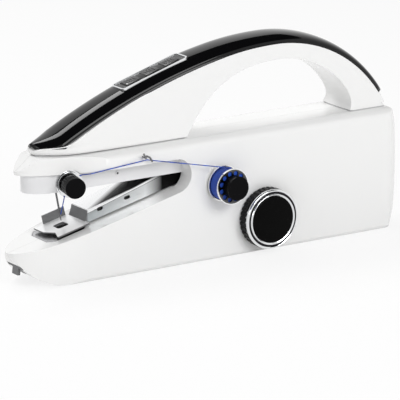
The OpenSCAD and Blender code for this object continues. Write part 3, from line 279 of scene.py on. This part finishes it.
def faired(node, finish, reshape=None):
    """A welded copy of a CAD node that shades round over its curves."""
    crease = math.radians(32)
    mesh = frame["nodes"][node].data.copy()
    form = bmesh.new()
    form.from_mesh(mesh)
    bmesh.ops.remove_doubles(form, verts=form.verts, dist=2e-6)
    bmesh.ops.dissolve_degenerate(form, edges=form.edges, dist=1e-6)
    if reshape:
        reshape(form)
    for face in form.faces:
        face.smooth = True
    for edge in form.edges:
        edge.smooth = not edge.is_manifold or edge.calc_face_angle(0) < crease
    form.to_mesh(mesh)
    form.free()
    piece = show(mesh, node + "_faired", finish, node)
    weights = piece.modifiers.new("even_normals", "WEIGHTED_NORMAL")
    weights.keep_sharp = True
    weights.weight = 80
    return piece


white_abs = (0.86, 0.86, 0.855)


def moulded_white(name, axis, at, half_width, line_colour, line_depth):
    """Gloss white ABS with a faint orange peel and one moulded line across an axis."""
    finish = Finish(name, white_abs, 0.2, Coat_Weight=0.25, Coat_Roughness=0.06)
    line = (finish.xyz()[axis] - at).math("ABSOLUTE") < half_width
    peel = finish.grain(3.2)
    finish.feed("Base Color", finish.between(line, white_abs, line_colour))
    finish.feed("Roughness", peel * 0.08 + 0.16)
    finish.bump(peel * 0.04 - line * line_depth, 0.3)
    return finish


gloss_white = moulded_white("gloss_white_plastic", 1, 0.0, 0.06, (0.62, 0.62, 0.62), 0.5)


def metres(form):
    bmesh.ops.scale(form, vec=(0.001,) * 3, verts=form.verts)


def millimetres(form):
    bmesh.ops.scale(form, vec=(1000,) * 3, verts=form.verts)


def region(verts):
    """the vertices, with every edge and face that meets them"""
    return list(set(verts) | {e for v in verts for e in v.link_edges} |
                {f for v in verts for f in v.link_faces})


def cut_rows(form, rows, normal, keep):
    """Adds a row of edges at each place along the normal, where keep(place) is true."""
    for at in rows:
        part = region([v for v in form.verts if keep(v.co)])
        bmesh.ops.bisect_plane(form, geom=part, plane_co=[at * n for n in normal],
                               plane_no=normal)


def bulge_tail(form):
    """Rounds the tail in side view and draws its sides in."""
    bulge_start, bulge_length = 114.5, 12.5
    middle_height, half_height = 38, 33
    millimetres(form)
    cut_rows(form, [115.5, 117.5, 119.5, 121.5, 123.5, 125.5], (1, 0, 0), lambda c: c.x > 113)
    cut_rows(form, [3, 6, 10, 15, 22, 30, 38, 46, 54, 60, 64, 67, 69.5], (0, 0, 1),
             lambda c: c.x > 114)
    for v in form.verts:
        share = min(1.0, max(0.0, v.co.x - bulge_start) / bulge_length) ** 1.5
        off = (v.co.z - middle_height) / half_height
        v.co.x -= share * (1.4 + 2.0 * off ** 2 + 4.6 * off ** 8)
        v.co.y *= 1 - 0.07 * share
    metres(form)


for node in ("front_shell", "back_shell"):
    faired(node, gloss_white, reshape=bulge_tail)

# ---- needle arm casing ----
# A pale grey moulding pressed up under the head. It hides the needle arm and carries
# the tension stud, and one small screw holds it.
satin_grey = Finish("satin_grey_plastic", (0.76, 0.76, 0.77), 0.3)
satin_grey.drift(1.5, 0.12, 0.24)
faired("needle_casing", satin_grey)
grey_screw = Finish("grey_screw", (0.6, 0.6, 0.61), 0.35)
# Painted shade: a dark disc of 0.62 mm radius at the middle of the screw head stands for its
# shaded socket.
socket_shade_r = 0.62
outside_socket_shade = grey_screw.distance(x=-62.5, z=56.5) > socket_shade_r
grey_screw.feed("Base Color", grey_screw.between(outside_socket_shade, (0.03, 0.03, 0.032),
                                                 (0.72, 0.72, 0.73)))
grey_screw.drift(0.4, 0.1, 0.3)
faired("casing_screw", grey_screw)

# ---- handle ----
# A closed grip in white ABS on the deck, with a high gloss black cover over its crest.
# A moulded groove follows the lower edge of the cover.
deck = 71.0
handle_white = moulded_white("handle_white_plastic", 2, deck + 0.25, 0.35, (0.5, 0.5, 0.51),
                             0.3)
neck, tail = -112.0, 116.6
lip = deck + 4.2
grip_half = 14.5
bow_start, bow_length, bow_fullness = neck + 27, 27.5, 1.6
crest_arcs = [(70.88, -235.87, 360.0), (42.0, -78.5, 200.0), (42.0, 31.5, 90.0)]
arc_ends = (5.9, 42.0)


def crest_arc(x):
    """centre and radius of the crest line over x"""
    return crest_arcs[(x > arc_ends[0]) + (x > arc_ends[1])]


def cover_depth(x):
    """depth of the cover across the grip: it thins towards the tail"""
    return 6.9 - 1.5 * min(1.0, max(0.0, (x + 90) / 110)) - 0.5 * max(0.0, (x - 60) / 60)


def nose_lift(x):
    """how far the nose stands over the front arc, which gives it a blunt end"""
    return 3.2 * max(0.0, (-98 - x) / 14) ** 1.5


def crest_height(x, under):
    """height over x of a line that runs this far under the crest"""
    cx, cz, r = crest_arc(x)
    return cz + math.sqrt((r - under) ** 2 - (x - cx) ** 2) + nose_lift(x)


def bow_width(x):
    """half width of the grip in plan, which bows in towards the neck"""
    along = min(1.0, max(0.0, (bow_start - x) / bow_length))
    return grip_half * math.sqrt(max(0.0, 1 - along ** bow_fullness)) + 0.1


def curve_point(ends, t):
    s = 1 - t
    return [s ** 3 * a + 3 * s * s * t * b + 3 * s * t * t * c + t ** 3 * d
            for a, b, c, d in zip(*ends)]


def spread(points, count):
    """count + 1 points at even spacing along a line of points"""
    lengths = [0.0]
    for p, q in zip(points, points[1:]):
        lengths.append(lengths[-1] + math.dist(p, q))
    out, k = [], 0
    for i in range(count + 1):
        want = lengths[-1] * i / count
        while k < len(points) - 2 and lengths[k + 1] < want:
            k += 1
        t = (want - lengths[k]) / max(1e-9, lengths[k + 1] - lengths[k])
        out.append([a + (b - a) * min(1.0, t) for a, b in zip(points[k], points[k + 1])])
    return out


def finished_mesh(form, name):
    for face in form.faces:
        face.smooth = True
    mesh = bpy.data.meshes.new(name)
    form.to_mesh(mesh)
    form.free()
    return mesh


sunk = deck - 1.2
outer = [(neck, sunk), (neck, lip - 3), (neck, lip)]
outer += [(x, crest_height(x, cover_depth(x) - 0.6)) for x in
          [-95 + 4 * i for i in range(52)] + [tail - 2.4]]
outer += [(tail + 0.4, sunk)]
window_top = 107.3
window = [curve_point([(-20, sunk), (-8, 91), (10, window_top), (42, window_top)], i / 20)
          for i in range(20)]
window += [curve_point([(42, window_top), (68, window_top), (92, 92), (96, sunk)], i / 20)
           for i in range(21)]
steps = 64
grip_form = bmesh.new()
rails = []
for line in (spread(outer, steps), spread(window, steps)):
    verts = [grip_form.verts.new((px, -grip_half, pz)) for px, pz in line]
    rails.append([grip_form.edges.new(pair) for pair in zip(verts, verts[1:])])
bmesh.ops.bridge_loops(grip_form, edges=rails[0] + rails[1])
across = [e for e in grip_form.edges if e not in rails[0] and e not in rails[1]]
bmesh.ops.subdivide_edges(grip_form, edges=across, cuts=7, use_grid_fill=True)
side = bmesh.ops.extrude_face_region(grip_form, geom=grip_form.faces[:])["geom"]
bmesh.ops.translate(grip_form, vec=(0, 2 * grip_half, 0),
                    verts=[v for v in side if isinstance(v, bmesh.types.BMVert)])
bmesh.ops.recalc_face_normals(grip_form, faces=grip_form.faces)
sharp_turn, rim_round = 1.2, 4.2
rims = [e for e in grip_form.edges if e.calc_face_angle(0) > sharp_turn and
        min(v.co.z for v in e.verts) > sunk + 0.01 and abs(e.verts[0].co.y - e.verts[1].co.y) < 1]
bmesh.ops.bevel(grip_form, geom=rims, offset=rim_round, offset_type="OFFSET", segments=5,
                profile=0.5, affect="EDGES", material=-1, clamp_overlap=True)
rear_leg, leg_middle, foot_height = 60, 106, 13
cut_rows(grip_form, [deck + up for up in (0.2, 0.9, 2.0, 3.6, 6.0, 9.0, 12.0)], (0, 0, 1),
         lambda c: c.x > rear_leg)
for v in grip_form.verts:
    rise = max(0.0, v.co.z - deck)
    lean = grip_half - 2.2 * max(min(1.0, rise / 30), min(1.0, max(0.0, v.co.x - 40) / 20))
    v.co.y *= min(lean, bow_width(v.co.x)) / grip_half
    if v.co.x > rear_leg:
        foot = max(0.0, 1 - rise / foot_height) ** 3
        v.co.y *= 1 + 0.16 * foot
        v.co.x += 4.5 * foot * (-1 if v.co.x < leg_middle else 0.1)
metres(grip_form)
handle = show(finished_mesh(grip_form, "handle"), "handle", handle_white, "handle_shell")
round_off = handle.modifiers.new("round", "SUBSURF")
round_off.levels = round_off.render_levels = 1

gloss_black = Finish("gloss_black_plastic", (0.003, 0.003, 0.0034), 0.08, IOR=1.32)
peel = gloss_black.grain(5.0)
gloss_black.feed("Roughness", peel * 0.03 + 0.05)
gloss_black.bump(peel * 0.02, 0.3)
cover_half = 12.5
section = [(-12.1, 1.0), (-12.4, 0.97), (-12.4, 0.9), (-12.15, 0.86)]
section += [(-12.1 * math.cos(math.radians(a)) ** 0.92,
             0.84 * (1 - math.sin(math.radians(a)) ** 0.88)) for a in range(6, 90, 7)]
section += [(0, 0)]
section += [(-cy, depth) for cy, depth in reversed(section[:-1])]
cover_form = bmesh.new()
cx, cz, r = crest_arcs[0]
start_a = math.asin((cx - neck) / r)
line = [cover_form.verts.new((0, sy, r - depth)) for sy, depth in section]
ring = line + [cover_form.edges.new(pair) for pair in zip(line, line[1:])]
bmesh.ops.rotate(cover_form, verts=line, cent=(0, 0, 0),
                 matrix=Matrix.Rotation(-start_a, 3, "Y"))
bmesh.ops.translate(cover_form, verts=line, vec=(cx, 0, cz))
turns = [start_a - math.asin((cx - arc_ends[0]) / r),
         math.asin((arc_ends[1] - arc_ends[0]) / crest_arcs[1][2]),
         math.asin((tail - arc_ends[1]) / crest_arcs[2][2])]
arc_steps = (44, 16, 34)
for (cx, cz, r), turn, count in zip(crest_arcs, turns, arc_steps):
    ring = bmesh.ops.spin(cover_form, geom=ring, cent=(cx, 0, cz), axis=(0, 1, 0),
                          angle=turn, steps=count, use_merge=False)["geom_last"]
for v in cover_form.verts:
    cx, cz, r = crest_arc(v.co.x)
    out = Vector((v.co.x - cx, 0, v.co.z - cz))
    deep = (r - out.length) * cover_depth(v.co.x)
    out.normalize()
    v.co.x, v.co.z = cx + out.x * (r - deep), cz + out.z * (r - deep)
    v.co.z += nose_lift(v.co.x) - 0.06
    v.co.y *= min(1.0, bow_width(v.co.x) / cover_half)
near_lip = region([v for v in cover_form.verts if v.co.x < -60])
bmesh.ops.bisect_plane(cover_form, geom=near_lip, plane_co=(0, 0, lip + 0.05),
                       plane_no=(0, 0, -1), clear_outer=True)
bmesh.ops.recalc_face_normals(cover_form, faces=cover_form.faces)
metres(cover_form)
cover = show(finished_mesh(cover_form, "cover"), "cover", gloss_black, "handle_cover")
cover_wall = cover.modifiers.new("wall", "SOLIDIFY")
cover_wall.thickness = 0.0016
cover_wall.offset = -1

# ---- button panel ----
# A satin black bezel in a plated trim, with three rocker shaped press buttons for
# power, speed and the lamp.
plated = Finish("bright_plating", (0.78, 0.79, 0.8), 0.12, 1.0)
plated.drift(2.0, 0.08, 0.07)
satin_black = Finish("satin_black_plastic", (0.02, 0.02, 0.021), 0.38)
satin_black.drift(0.5, 0.15, 0.3)
satin_black.bump(satin_black.grain(0.3), 0.01)
faired("panel_trim", plated)
faired("button_panel", satin_black)
panel_x, panel_z, panel_tilt = -34.43, 108.12, 17.0215
panel_at = (Matrix.Translation((panel_x, 0, panel_z)) @
            Matrix.Rotation(math.radians(-panel_tilt), 4, "Y"))
button_pitch = 13.0
button_black = Finish("button_black_plastic", (0.014, 0.014, 0.015), 0.3)
button_black.drift(0.6, 0.2, 0.22)
button_black.bump(button_black.grain(0.25), 0.008)


def add_block(form, at, size, edge, segments=3):
    """a block with rounded edges"""
    made = bmesh.ops.create_cube(form, size=1)["verts"]
    bmesh.ops.scale(form, vec=size, verts=made)
    bmesh.ops.translate(form, vec=at, verts=made)
    edges = list({e for v in made for e in v.link_edges})
    bmesh.ops.bevel(form, geom=edges, offset=edge, offset_type="OFFSET", segments=segments,
                    profile=0.5, affect="EDGES", material=-1)


for i, node in enumerate(("power_button", "speed_button", "lamp_button")):
    button_form = bmesh.new()
    add_block(button_form, (0, 0, -0.6), (9.6, 7.4, 2.0), 0.35)
    for rib in (-2.6, -0.9, 0.8, 2.5):
        add_block(button_form, (rib, 0, 0.45), (0.7, 4.8 - abs(rib) * 0.5, 0.36), 0.16, 2)
    bmesh.ops.translate(button_form, vec=((i - 1) * button_pitch, 0, 0), verts=button_form.verts)
    bmesh.ops.transform(button_form, matrix=panel_at, verts=button_form.verts)
    metres(button_form)
    show(finished_mesh(button_form, node + "_cap"), node + "_cap", button_black, node)
mark_white = Finish("lamp_mark_white", (0.8, 0.8, 0.78), 0.35)
mark_white.drift(0.4, 0.2, 0.25)
mark_form = bmesh.new()
bmesh.ops.create_uvsphere(mark_form, u_segments=20, v_segments=10, radius=0.55)
bmesh.ops.scale(mark_form, vec=(1, 1, 0.35), verts=mark_form.verts)
bmesh.ops.translate(mark_form, vec=(-16.9, -2.4, 0.42), verts=mark_form.verts)
bmesh.ops.transform(mark_form, matrix=panel_at, verts=mark_form.verts)
metres(mark_form)
mark_mesh = finished_mesh(mark_form, "power_lamp")
mark_mesh.materials.append(mark_white.material)
power_lamp = add_object("power_lamp", mark_mesh)
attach(power_lamp, "power_button")

# ---- handwheel ----
# A moulded black wheel on the end of the main shaft, knurled round its inner rim,
# with a polished ring round the front and a plain cap in the middle.
wheel_black = Finish("wheel_black_plastic", (0.004, 0.004, 0.0045), 0.3, IOR=1.2)
wheel_black.drift(1.2, 0.1, 0.22)
faired("handwheel", wheel_black)
wheel_x, wheel_z, wheel_front = 29.0, 20.3, -29.3
disc_r, disc_deep = 13.4, 1.1
disc_form = bmesh.new()
bmesh.ops.create_circle(disc_form, cap_ends=True, segments=96, radius=disc_r)
rim = [e for e in disc_form.edges if e.is_boundary]
raised = bmesh.ops.extrude_edge_only(disc_form, edges=rim)["geom"]
bmesh.ops.translate(disc_form, vec=(0, 0, -disc_deep),
                    verts=[v for v in raised if isinstance(v, bmesh.types.BMVert)])
bmesh.ops.bevel(disc_form, geom=rim, offset=0.5, offset_type="OFFSET", segments=4, profile=0.5,
                affect="EDGES", material=-1)
bmesh.ops.rotate(disc_form, verts=disc_form.verts, cent=(0, 0, 0),
                 matrix=Matrix.Rotation(math.radians(90), 3, "X"))
bmesh.ops.translate(disc_form, vec=(wheel_x, wheel_front + 0.1, wheel_z), verts=disc_form.verts)
metres(disc_form)
jet_black = Finish("jet_black_disc", (0.002, 0.002, 0.002), 0.16, IOR=1.12)
jet_black.drift(3.0, 0.06, 0.12)
show(finished_mesh(disc_form, "wheel_disc"), "wheel_disc", jet_black, "handwheel_cap")

ring_form = bmesh.new()
ring_profile = [(13.42, 3.1), (17.15, 3.1), (17.15, 1.9), (17.05, 1.4), (16.8, 0.95),
                (16.4, 0.75), (16.1, 0.85), (15.85, 1.25), (14.75, 1.25), (14.6, 0.6),
                (14.4, 0.3), (14.1, 0.3), (13.9, 0.55), (13.5, 0.65)]
loop = [ring_form.verts.new((r, back, 0)) for r, back in ring_profile]
edges = [ring_form.edges.new(pair) for pair in zip(loop, loop[1:])]
bmesh.ops.spin(ring_form, geom=loop + edges, cent=(0, 0, 0), axis=(0, 1, 0),
               angle=math.radians(360), steps=120, use_merge=True)
bmesh.ops.remove_doubles(ring_form, verts=ring_form.verts, dist=1e-4)
bmesh.ops.recalc_face_normals(ring_form, faces=ring_form.faces)
bmesh.ops.translate(ring_form, vec=(wheel_x, wheel_front, wheel_z), verts=ring_form.verts)
metres(ring_form)
ring_chrome = Finish("ring_chrome", (0.78, 0.79, 0.8), 0.1, 1.0)
off_axis = ring_chrome.distance(x=wheel_x, z=wheel_z)
# Painted shade: the groove between the inner and outer lands of the ring is coloured near black.
groove_inner, groove_outer = 14.7, 15.95
band = (off_axis > groove_inner) * (off_axis < groove_outer)
ring_chrome.feed("Base Color", ring_chrome.between(band, (0.78, 0.79, 0.8), (0.02, 0.02, 0.022)))
ring_chrome.drift(2.0, 0.06, 0.06)
show(finished_mesh(ring_form, "wheel_ring"), "wheel_ring", ring_chrome, "handwheel_ring")

# ---- bobbin ----
# A stamped metal bobbin wound with blue thread runs on a spindle and a moulded cap
# pushes on to hold it.
blue_yarn = Finish("blue_polyester_thread", (0.015, 0.06, 0.42), 0.6)
_, y, _ = blue_yarn.xyz()
wind_rate, wander = 10.5, 4
# The colour darkens where the bump sinks between turns: painted shade in the grooves, on top of
# the real bump.
winds = (y * wind_rate + blue_yarn.grain(6.0) * wander).math("SINE") * 0.5 + 0.5
blue_yarn.feed("Base Color", blue_yarn.between(winds, (0.004, 0.03, 0.25), (0.01, 0.09, 0.6)))
blue_yarn.bump(winds, 0.25)
faired("bobbin_thread", blue_yarn)
bobbin_steel_painted_sheen = Finish("bobbin_steel", (0.12, 0.12, 0.13), 0.16, 1.0)
# Painted reflection on the flanges: the face is coloured dark and lightens away from 7 mm off the
# axis in a painted sheen, and a painted highlight rings the edge beyond 9.75 mm.
painted_highlight_r = 9.75
off_axis = bobbin_steel_painted_sheen.distance(x=0.4, z=44.0)
painted_sheen = ((off_axis - 7.0) / 3.0).math("POWER", 2.0)
flange_with_painted_sheen = bobbin_steel_painted_sheen.between(painted_sheen * 0.25, (0.035, 0.035, 0.038), (0.5, 0.5, 0.51))
bobbin_steel_painted_sheen.feed("Base Color", bobbin_steel_painted_sheen.between(off_axis > painted_highlight_r, flange_with_painted_sheen,
                                                   (0.88, 0.88, 0.89)))
bobbin_steel_painted_sheen.drift(1.5, 0.1, 0.1)
faired("bobbin", bobbin_steel_painted_sheen)
faired("bobbin_spindle", plated)
cap_black = Finish("cap_black_plastic", (0.003, 0.003, 0.0035), 0.25, IOR=1.13)
cap_black.drift(1.5, 0.1, 0.2)
faired("bobbin_cap", cap_black)

# ---- thread path ----
# Two wire prongs on the side band lead the thread to two sprung discs on a stud. Its
# last length runs down to the needle and is cut into short pieces, but is not moved here.
guide_wire = Finish("dark_guide_wire", (0.2, 0.2, 0.205), 0.3, 1.0)
guide_wire.drift(0.5, 0.1, 0.22)
faired("thread_guide", guide_wire)
for node in ("tension_discs", "tension_stud", "tension_spring"):
    faired(node, plated)
faired("tension_knob", cap_black)
faired("thread_upper", blue_yarn)
thread_form = bmesh.new()
thread_form.from_mesh(frame["nodes"]["thread_lower"].data)
bmesh.ops.remove_doubles(thread_form, verts=thread_form.verts, dist=2e-6)
bmesh.ops.subdivide_edges(thread_form, edges=[e for e in thread_form.edges
                                              if e.calc_length() > 0.004], cuts=8)
thread_mesh = finished_mesh(thread_form, "needle_thread")
thread_mesh.materials.append(blue_yarn.material)
needle_thread = add_object("needle_thread", thread_mesh)
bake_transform(needle_thread)
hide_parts("thread_lower")

# ---- needle and fabric plates ----
# A channel folded from polished sheet carries the fabric plate on a sprung pin. The needle
# is clamped above a grey steel plate with painted shade round its hole, and turned pins and
# screws hold the rest; painted shadow and shade darken parts of the sheet.
arm_x, arm_z, arm_slope = -92.9, 26.53, math.radians(13.5633)
arm_at = Matrix.Translation((arm_x, 0, arm_z)) @ Matrix.Rotation(-arm_slope, 4, "Y")
plate_end, channel_start, channel_deep = 11.5, 14.5, 45.5


def level_channel(form):
    """Raises the front of the presser channel, so that its walls stay nearly as deep."""
    millimetres(form)
    bmesh.ops.transform(form, matrix=arm_at.inverted(), verts=form.verts)
    cut_rows(form, [13.0, 22, 30, 38, channel_deep], (1, 0, 0), lambda c: c.x > plate_end + 0.2)
    for v in form.verts:
        into = (v.co.x - plate_end) / (channel_start - plate_end)
        back = (channel_deep - v.co.x) / (channel_deep - channel_start)
        v.co.z *= 1 + 0.17 * max(0.0, min(1.0, into, back))
    bmesh.ops.transform(form, matrix=arm_at, verts=form.verts)
    metres(form)


steel_sheet = Finish("polished_steel_sheet", (0.8, 0.81, 0.82), 0.2, 1.0)
_, ny, nz = steel_sheet.split(steel_sheet.node("TexCoord", {}, {}, "Normal"))
x, y, z = steel_sheet.xyz()
along = (x - arm_x) * math.cos(arm_slope) + (z - arm_z) * math.sin(arm_slope)
height = (z - arm_z) * math.cos(arm_slope) - (x - arm_x) * math.sin(arm_slope)
plate_back = -80.6
up = nz > 0.8
side_wall = (x > plate_back) * (ny.math("ABSOLUTE") > 0.8)
# Faces that face neither up nor sideways are coloured dark grey and made rougher.
neither_up_nor_side = (1 - up) * (1 - side_wall)
on_channel = (x > -79.6) * up * (y > -7.6)
# Painted shadow and dark reflection: on the channel top the colour darkens towards the rear and
# the near side, and from x = -43 mm back every face is painted down to black, where the head
# shades it.
shadow = ((((x + 80) * 0.5 - y - 6.2) / 5) * on_channel).math("MAXIMUM", (x + 43) / 11)
shadow = shadow.math("MAXIMUM", 0.0).math("MINIMUM", 1.0)
# On the side walls the sheet keeps its bright colour above a sloping rim line. The line is a
# painted dark line, and the wall under it is painted shade that lightens from the front towards
# the rear.
below_rim = along * 0.055 + 5.2 - height
rim_line = below_rim.math("ABSOLUTE") < 0.16
wall_light = ((x + 84) / 50).math("MINIMUM", 1.0).math("MAXIMUM", 0.0)
bright_sheet = (0.88, 0.885, 0.89)
below_tone = steel_sheet.between(wall_light, (0.3, 0.325, 0.335), (0.72, 0.73, 0.735))
wall_tone = steel_sheet.between(below_rim < 0, below_tone, bright_sheet)
wall_tone = steel_sheet.between(rim_line, wall_tone, (0.2, 0.21, 0.215))
tone = steel_sheet.between(side_wall, bright_sheet, wall_tone)
tone = steel_sheet.between(shadow, tone, (0.006, 0.006, 0.006))
steel_sheet.feed("Base Color", steel_sheet.between(neither_up_nor_side, tone, (0.2, 0.202, 0.205)))
steel_sheet.feed("Roughness", steel_sheet.grain(1.0, 3, (0.08, 1, 1)) * 0.14 + 0.12 + neither_up_nor_side * 0.4 +
                 side_wall * 0.12)
plate_top = up * (x < plate_back) * (z > 26)
steel_sheet.feed("Metallic", 1 - plate_top * 0.7)
faired("presser_arm", steel_sheet, reshape=level_channel)
faired("slide_plate", steel_sheet)
plate_steel_hole_shade = Finish("plate_steel_painted_hole_shade", (0.3, 0.3, 0.31), 0.25, 1.0)
# Painted shade: a near-black disc of 5.6 mm radius round the needle hole, where the hole looks
# dark; the rest of the plate keeps its grey steel colour.
hole_shade_r = 5.6
outside_hole_shade = plate_steel_hole_shade.distance(x=-92.2, y=0.0) > hole_shade_r
plate_steel_hole_shade.feed("Base Color", plate_steel_hole_shade.between(outside_hole_shade, (0.004, 0.004, 0.004),
                                               (0.45, 0.45, 0.46)))
plate_steel_hole_shade.feed("Metallic", outside_hole_shade)
plate_steel_hole_shade.drift(1.0, 0.1, 0.2)
faired("needle_plate", plate_steel_hole_shade)
dark_needle = Finish("dark_needle_steel", (0.14, 0.14, 0.145), 0.25, 1.0)
dark_needle.drift(0.6, 0.1, 0.2)
for node in ("needle", "needle_clamp"):
    faired(node, dark_needle)
needle_steel = Finish("turned_steel", (0.6, 0.6, 0.61), 0.22, 1.0)
needle_steel.drift(0.6, 0.1, 0.16)


def sink_tail_screw(form):
    """Sets the screw by the tail deeper, as the shell draws in there."""
    by_tail = [v for v in form.verts if v.co.x > 0.11 and v.co.z > 0.05]
    bmesh.ops.translate(form, vec=(-0.0003, -0.0012, 0), verts=by_tail)


faired("housing_screws", needle_steel, reshape=sink_tail_screw)
for node in ("presser_pin", "handle_screws", "main_shaft", "idler_pin", "motor_shaft",
             "arm_pivot_pin", "looper_pin"):
    faired(node, needle_steel)
oiled = Finish("oiled_black_steel", (0.05, 0.05, 0.055), 0.3, 1.0)
oiled.drift(0.8, 0.15, 0.22)
for node in ("clamp_screw", "crank_disc", "looper_cam", "presser_spring", "looper"):
    faired(node, oiled)

# ---- drive train and power, inside the shells ----
# A small motor drives an acetal gear train; four dry cells stand in a moulded tray
# behind a sliding door on the far side, next to the power inlet.
acetal = Finish("acetal_gears", (0.72, 0.69, 0.58), 0.4)
acetal.drift(0.8, 0.15, 0.33)
for node in ("drive_gear", "idler_gear"):
    faired(node, acetal)
sintered = Finish("sintered_bronze", (0.36, 0.2, 0.09), 0.45, 1.0)
sintered.bump(sintered.grain(0.2, 4), 0.02)
sintered.drift(0.3, 0.2, 0.35)
for node in ("front_bush", "inner_bush"):
    faired(node, sintered)
turned_brass = Finish("turned_brass", (0.6, 0.42, 0.14), 0.25, 1.0)
turned_brass.drift(0.5, 0.12, 0.2)
faired("motor_pinion", turned_brass)
can_steel = Finish("drawn_can_steel", (0.42, 0.42, 0.43), 0.35, 1.0)
can_steel.drift(0.5, 0.2, 0.26, 3, (1, 0.1, 1))
for node in ("motor", "motor_bracket", "contact_springs", "contact_plates"):
    faired(node, can_steel)
cast_metal = Finish("die_cast_alloy", (0.45, 0.455, 0.46), 0.45, 1.0)
cast_metal.bump(cast_metal.grain(0.4, 4), 0.03)
cast_metal.drift(0.9, 0.15, 0.38)
for node in ("needle_arm", "connecting_rod", "looper_rod"):
    faired(node, cast_metal)
board = Finish("green_circuit_board", (0.01, 0.09, 0.03), 0.4)
board.drift(0.7, 0.2, 0.3)
faired("button_board", board)
tray_black = Finish("tray_black_plastic", (0.02, 0.02, 0.02), 0.5)
tray_black.bump(tray_black.grain(0.4, 3), 0.03)
tray_black.drift(0.6, 0.15, 0.42)
for node in ("battery_tray", "dc_socket"):
    faired(node, tray_black)
jacket = Finish("plain_cell_jacket", (0.1, 0.16, 0.13), 0.3)
band_start = 101.0
band = jacket.xyz()[0] > band_start
jacket.feed("Base Color", jacket.between(band, (0.03, 0.045, 0.05), (0.5, 0.3, 0.12)))
jacket.drift(1.5, 0.1, 0.22)
faired("battery_cells", jacket)
door_white = Finish("door_white_plastic", (0.85, 0.85, 0.845), 0.24, Coat_Weight=0.2,
                    Coat_Roughness=0.08)
door_white.bump(door_white.grain(0.8), 0.02)
door_white.drift(3.2, 0.08, 0.2)
faired("battery_door", door_white)
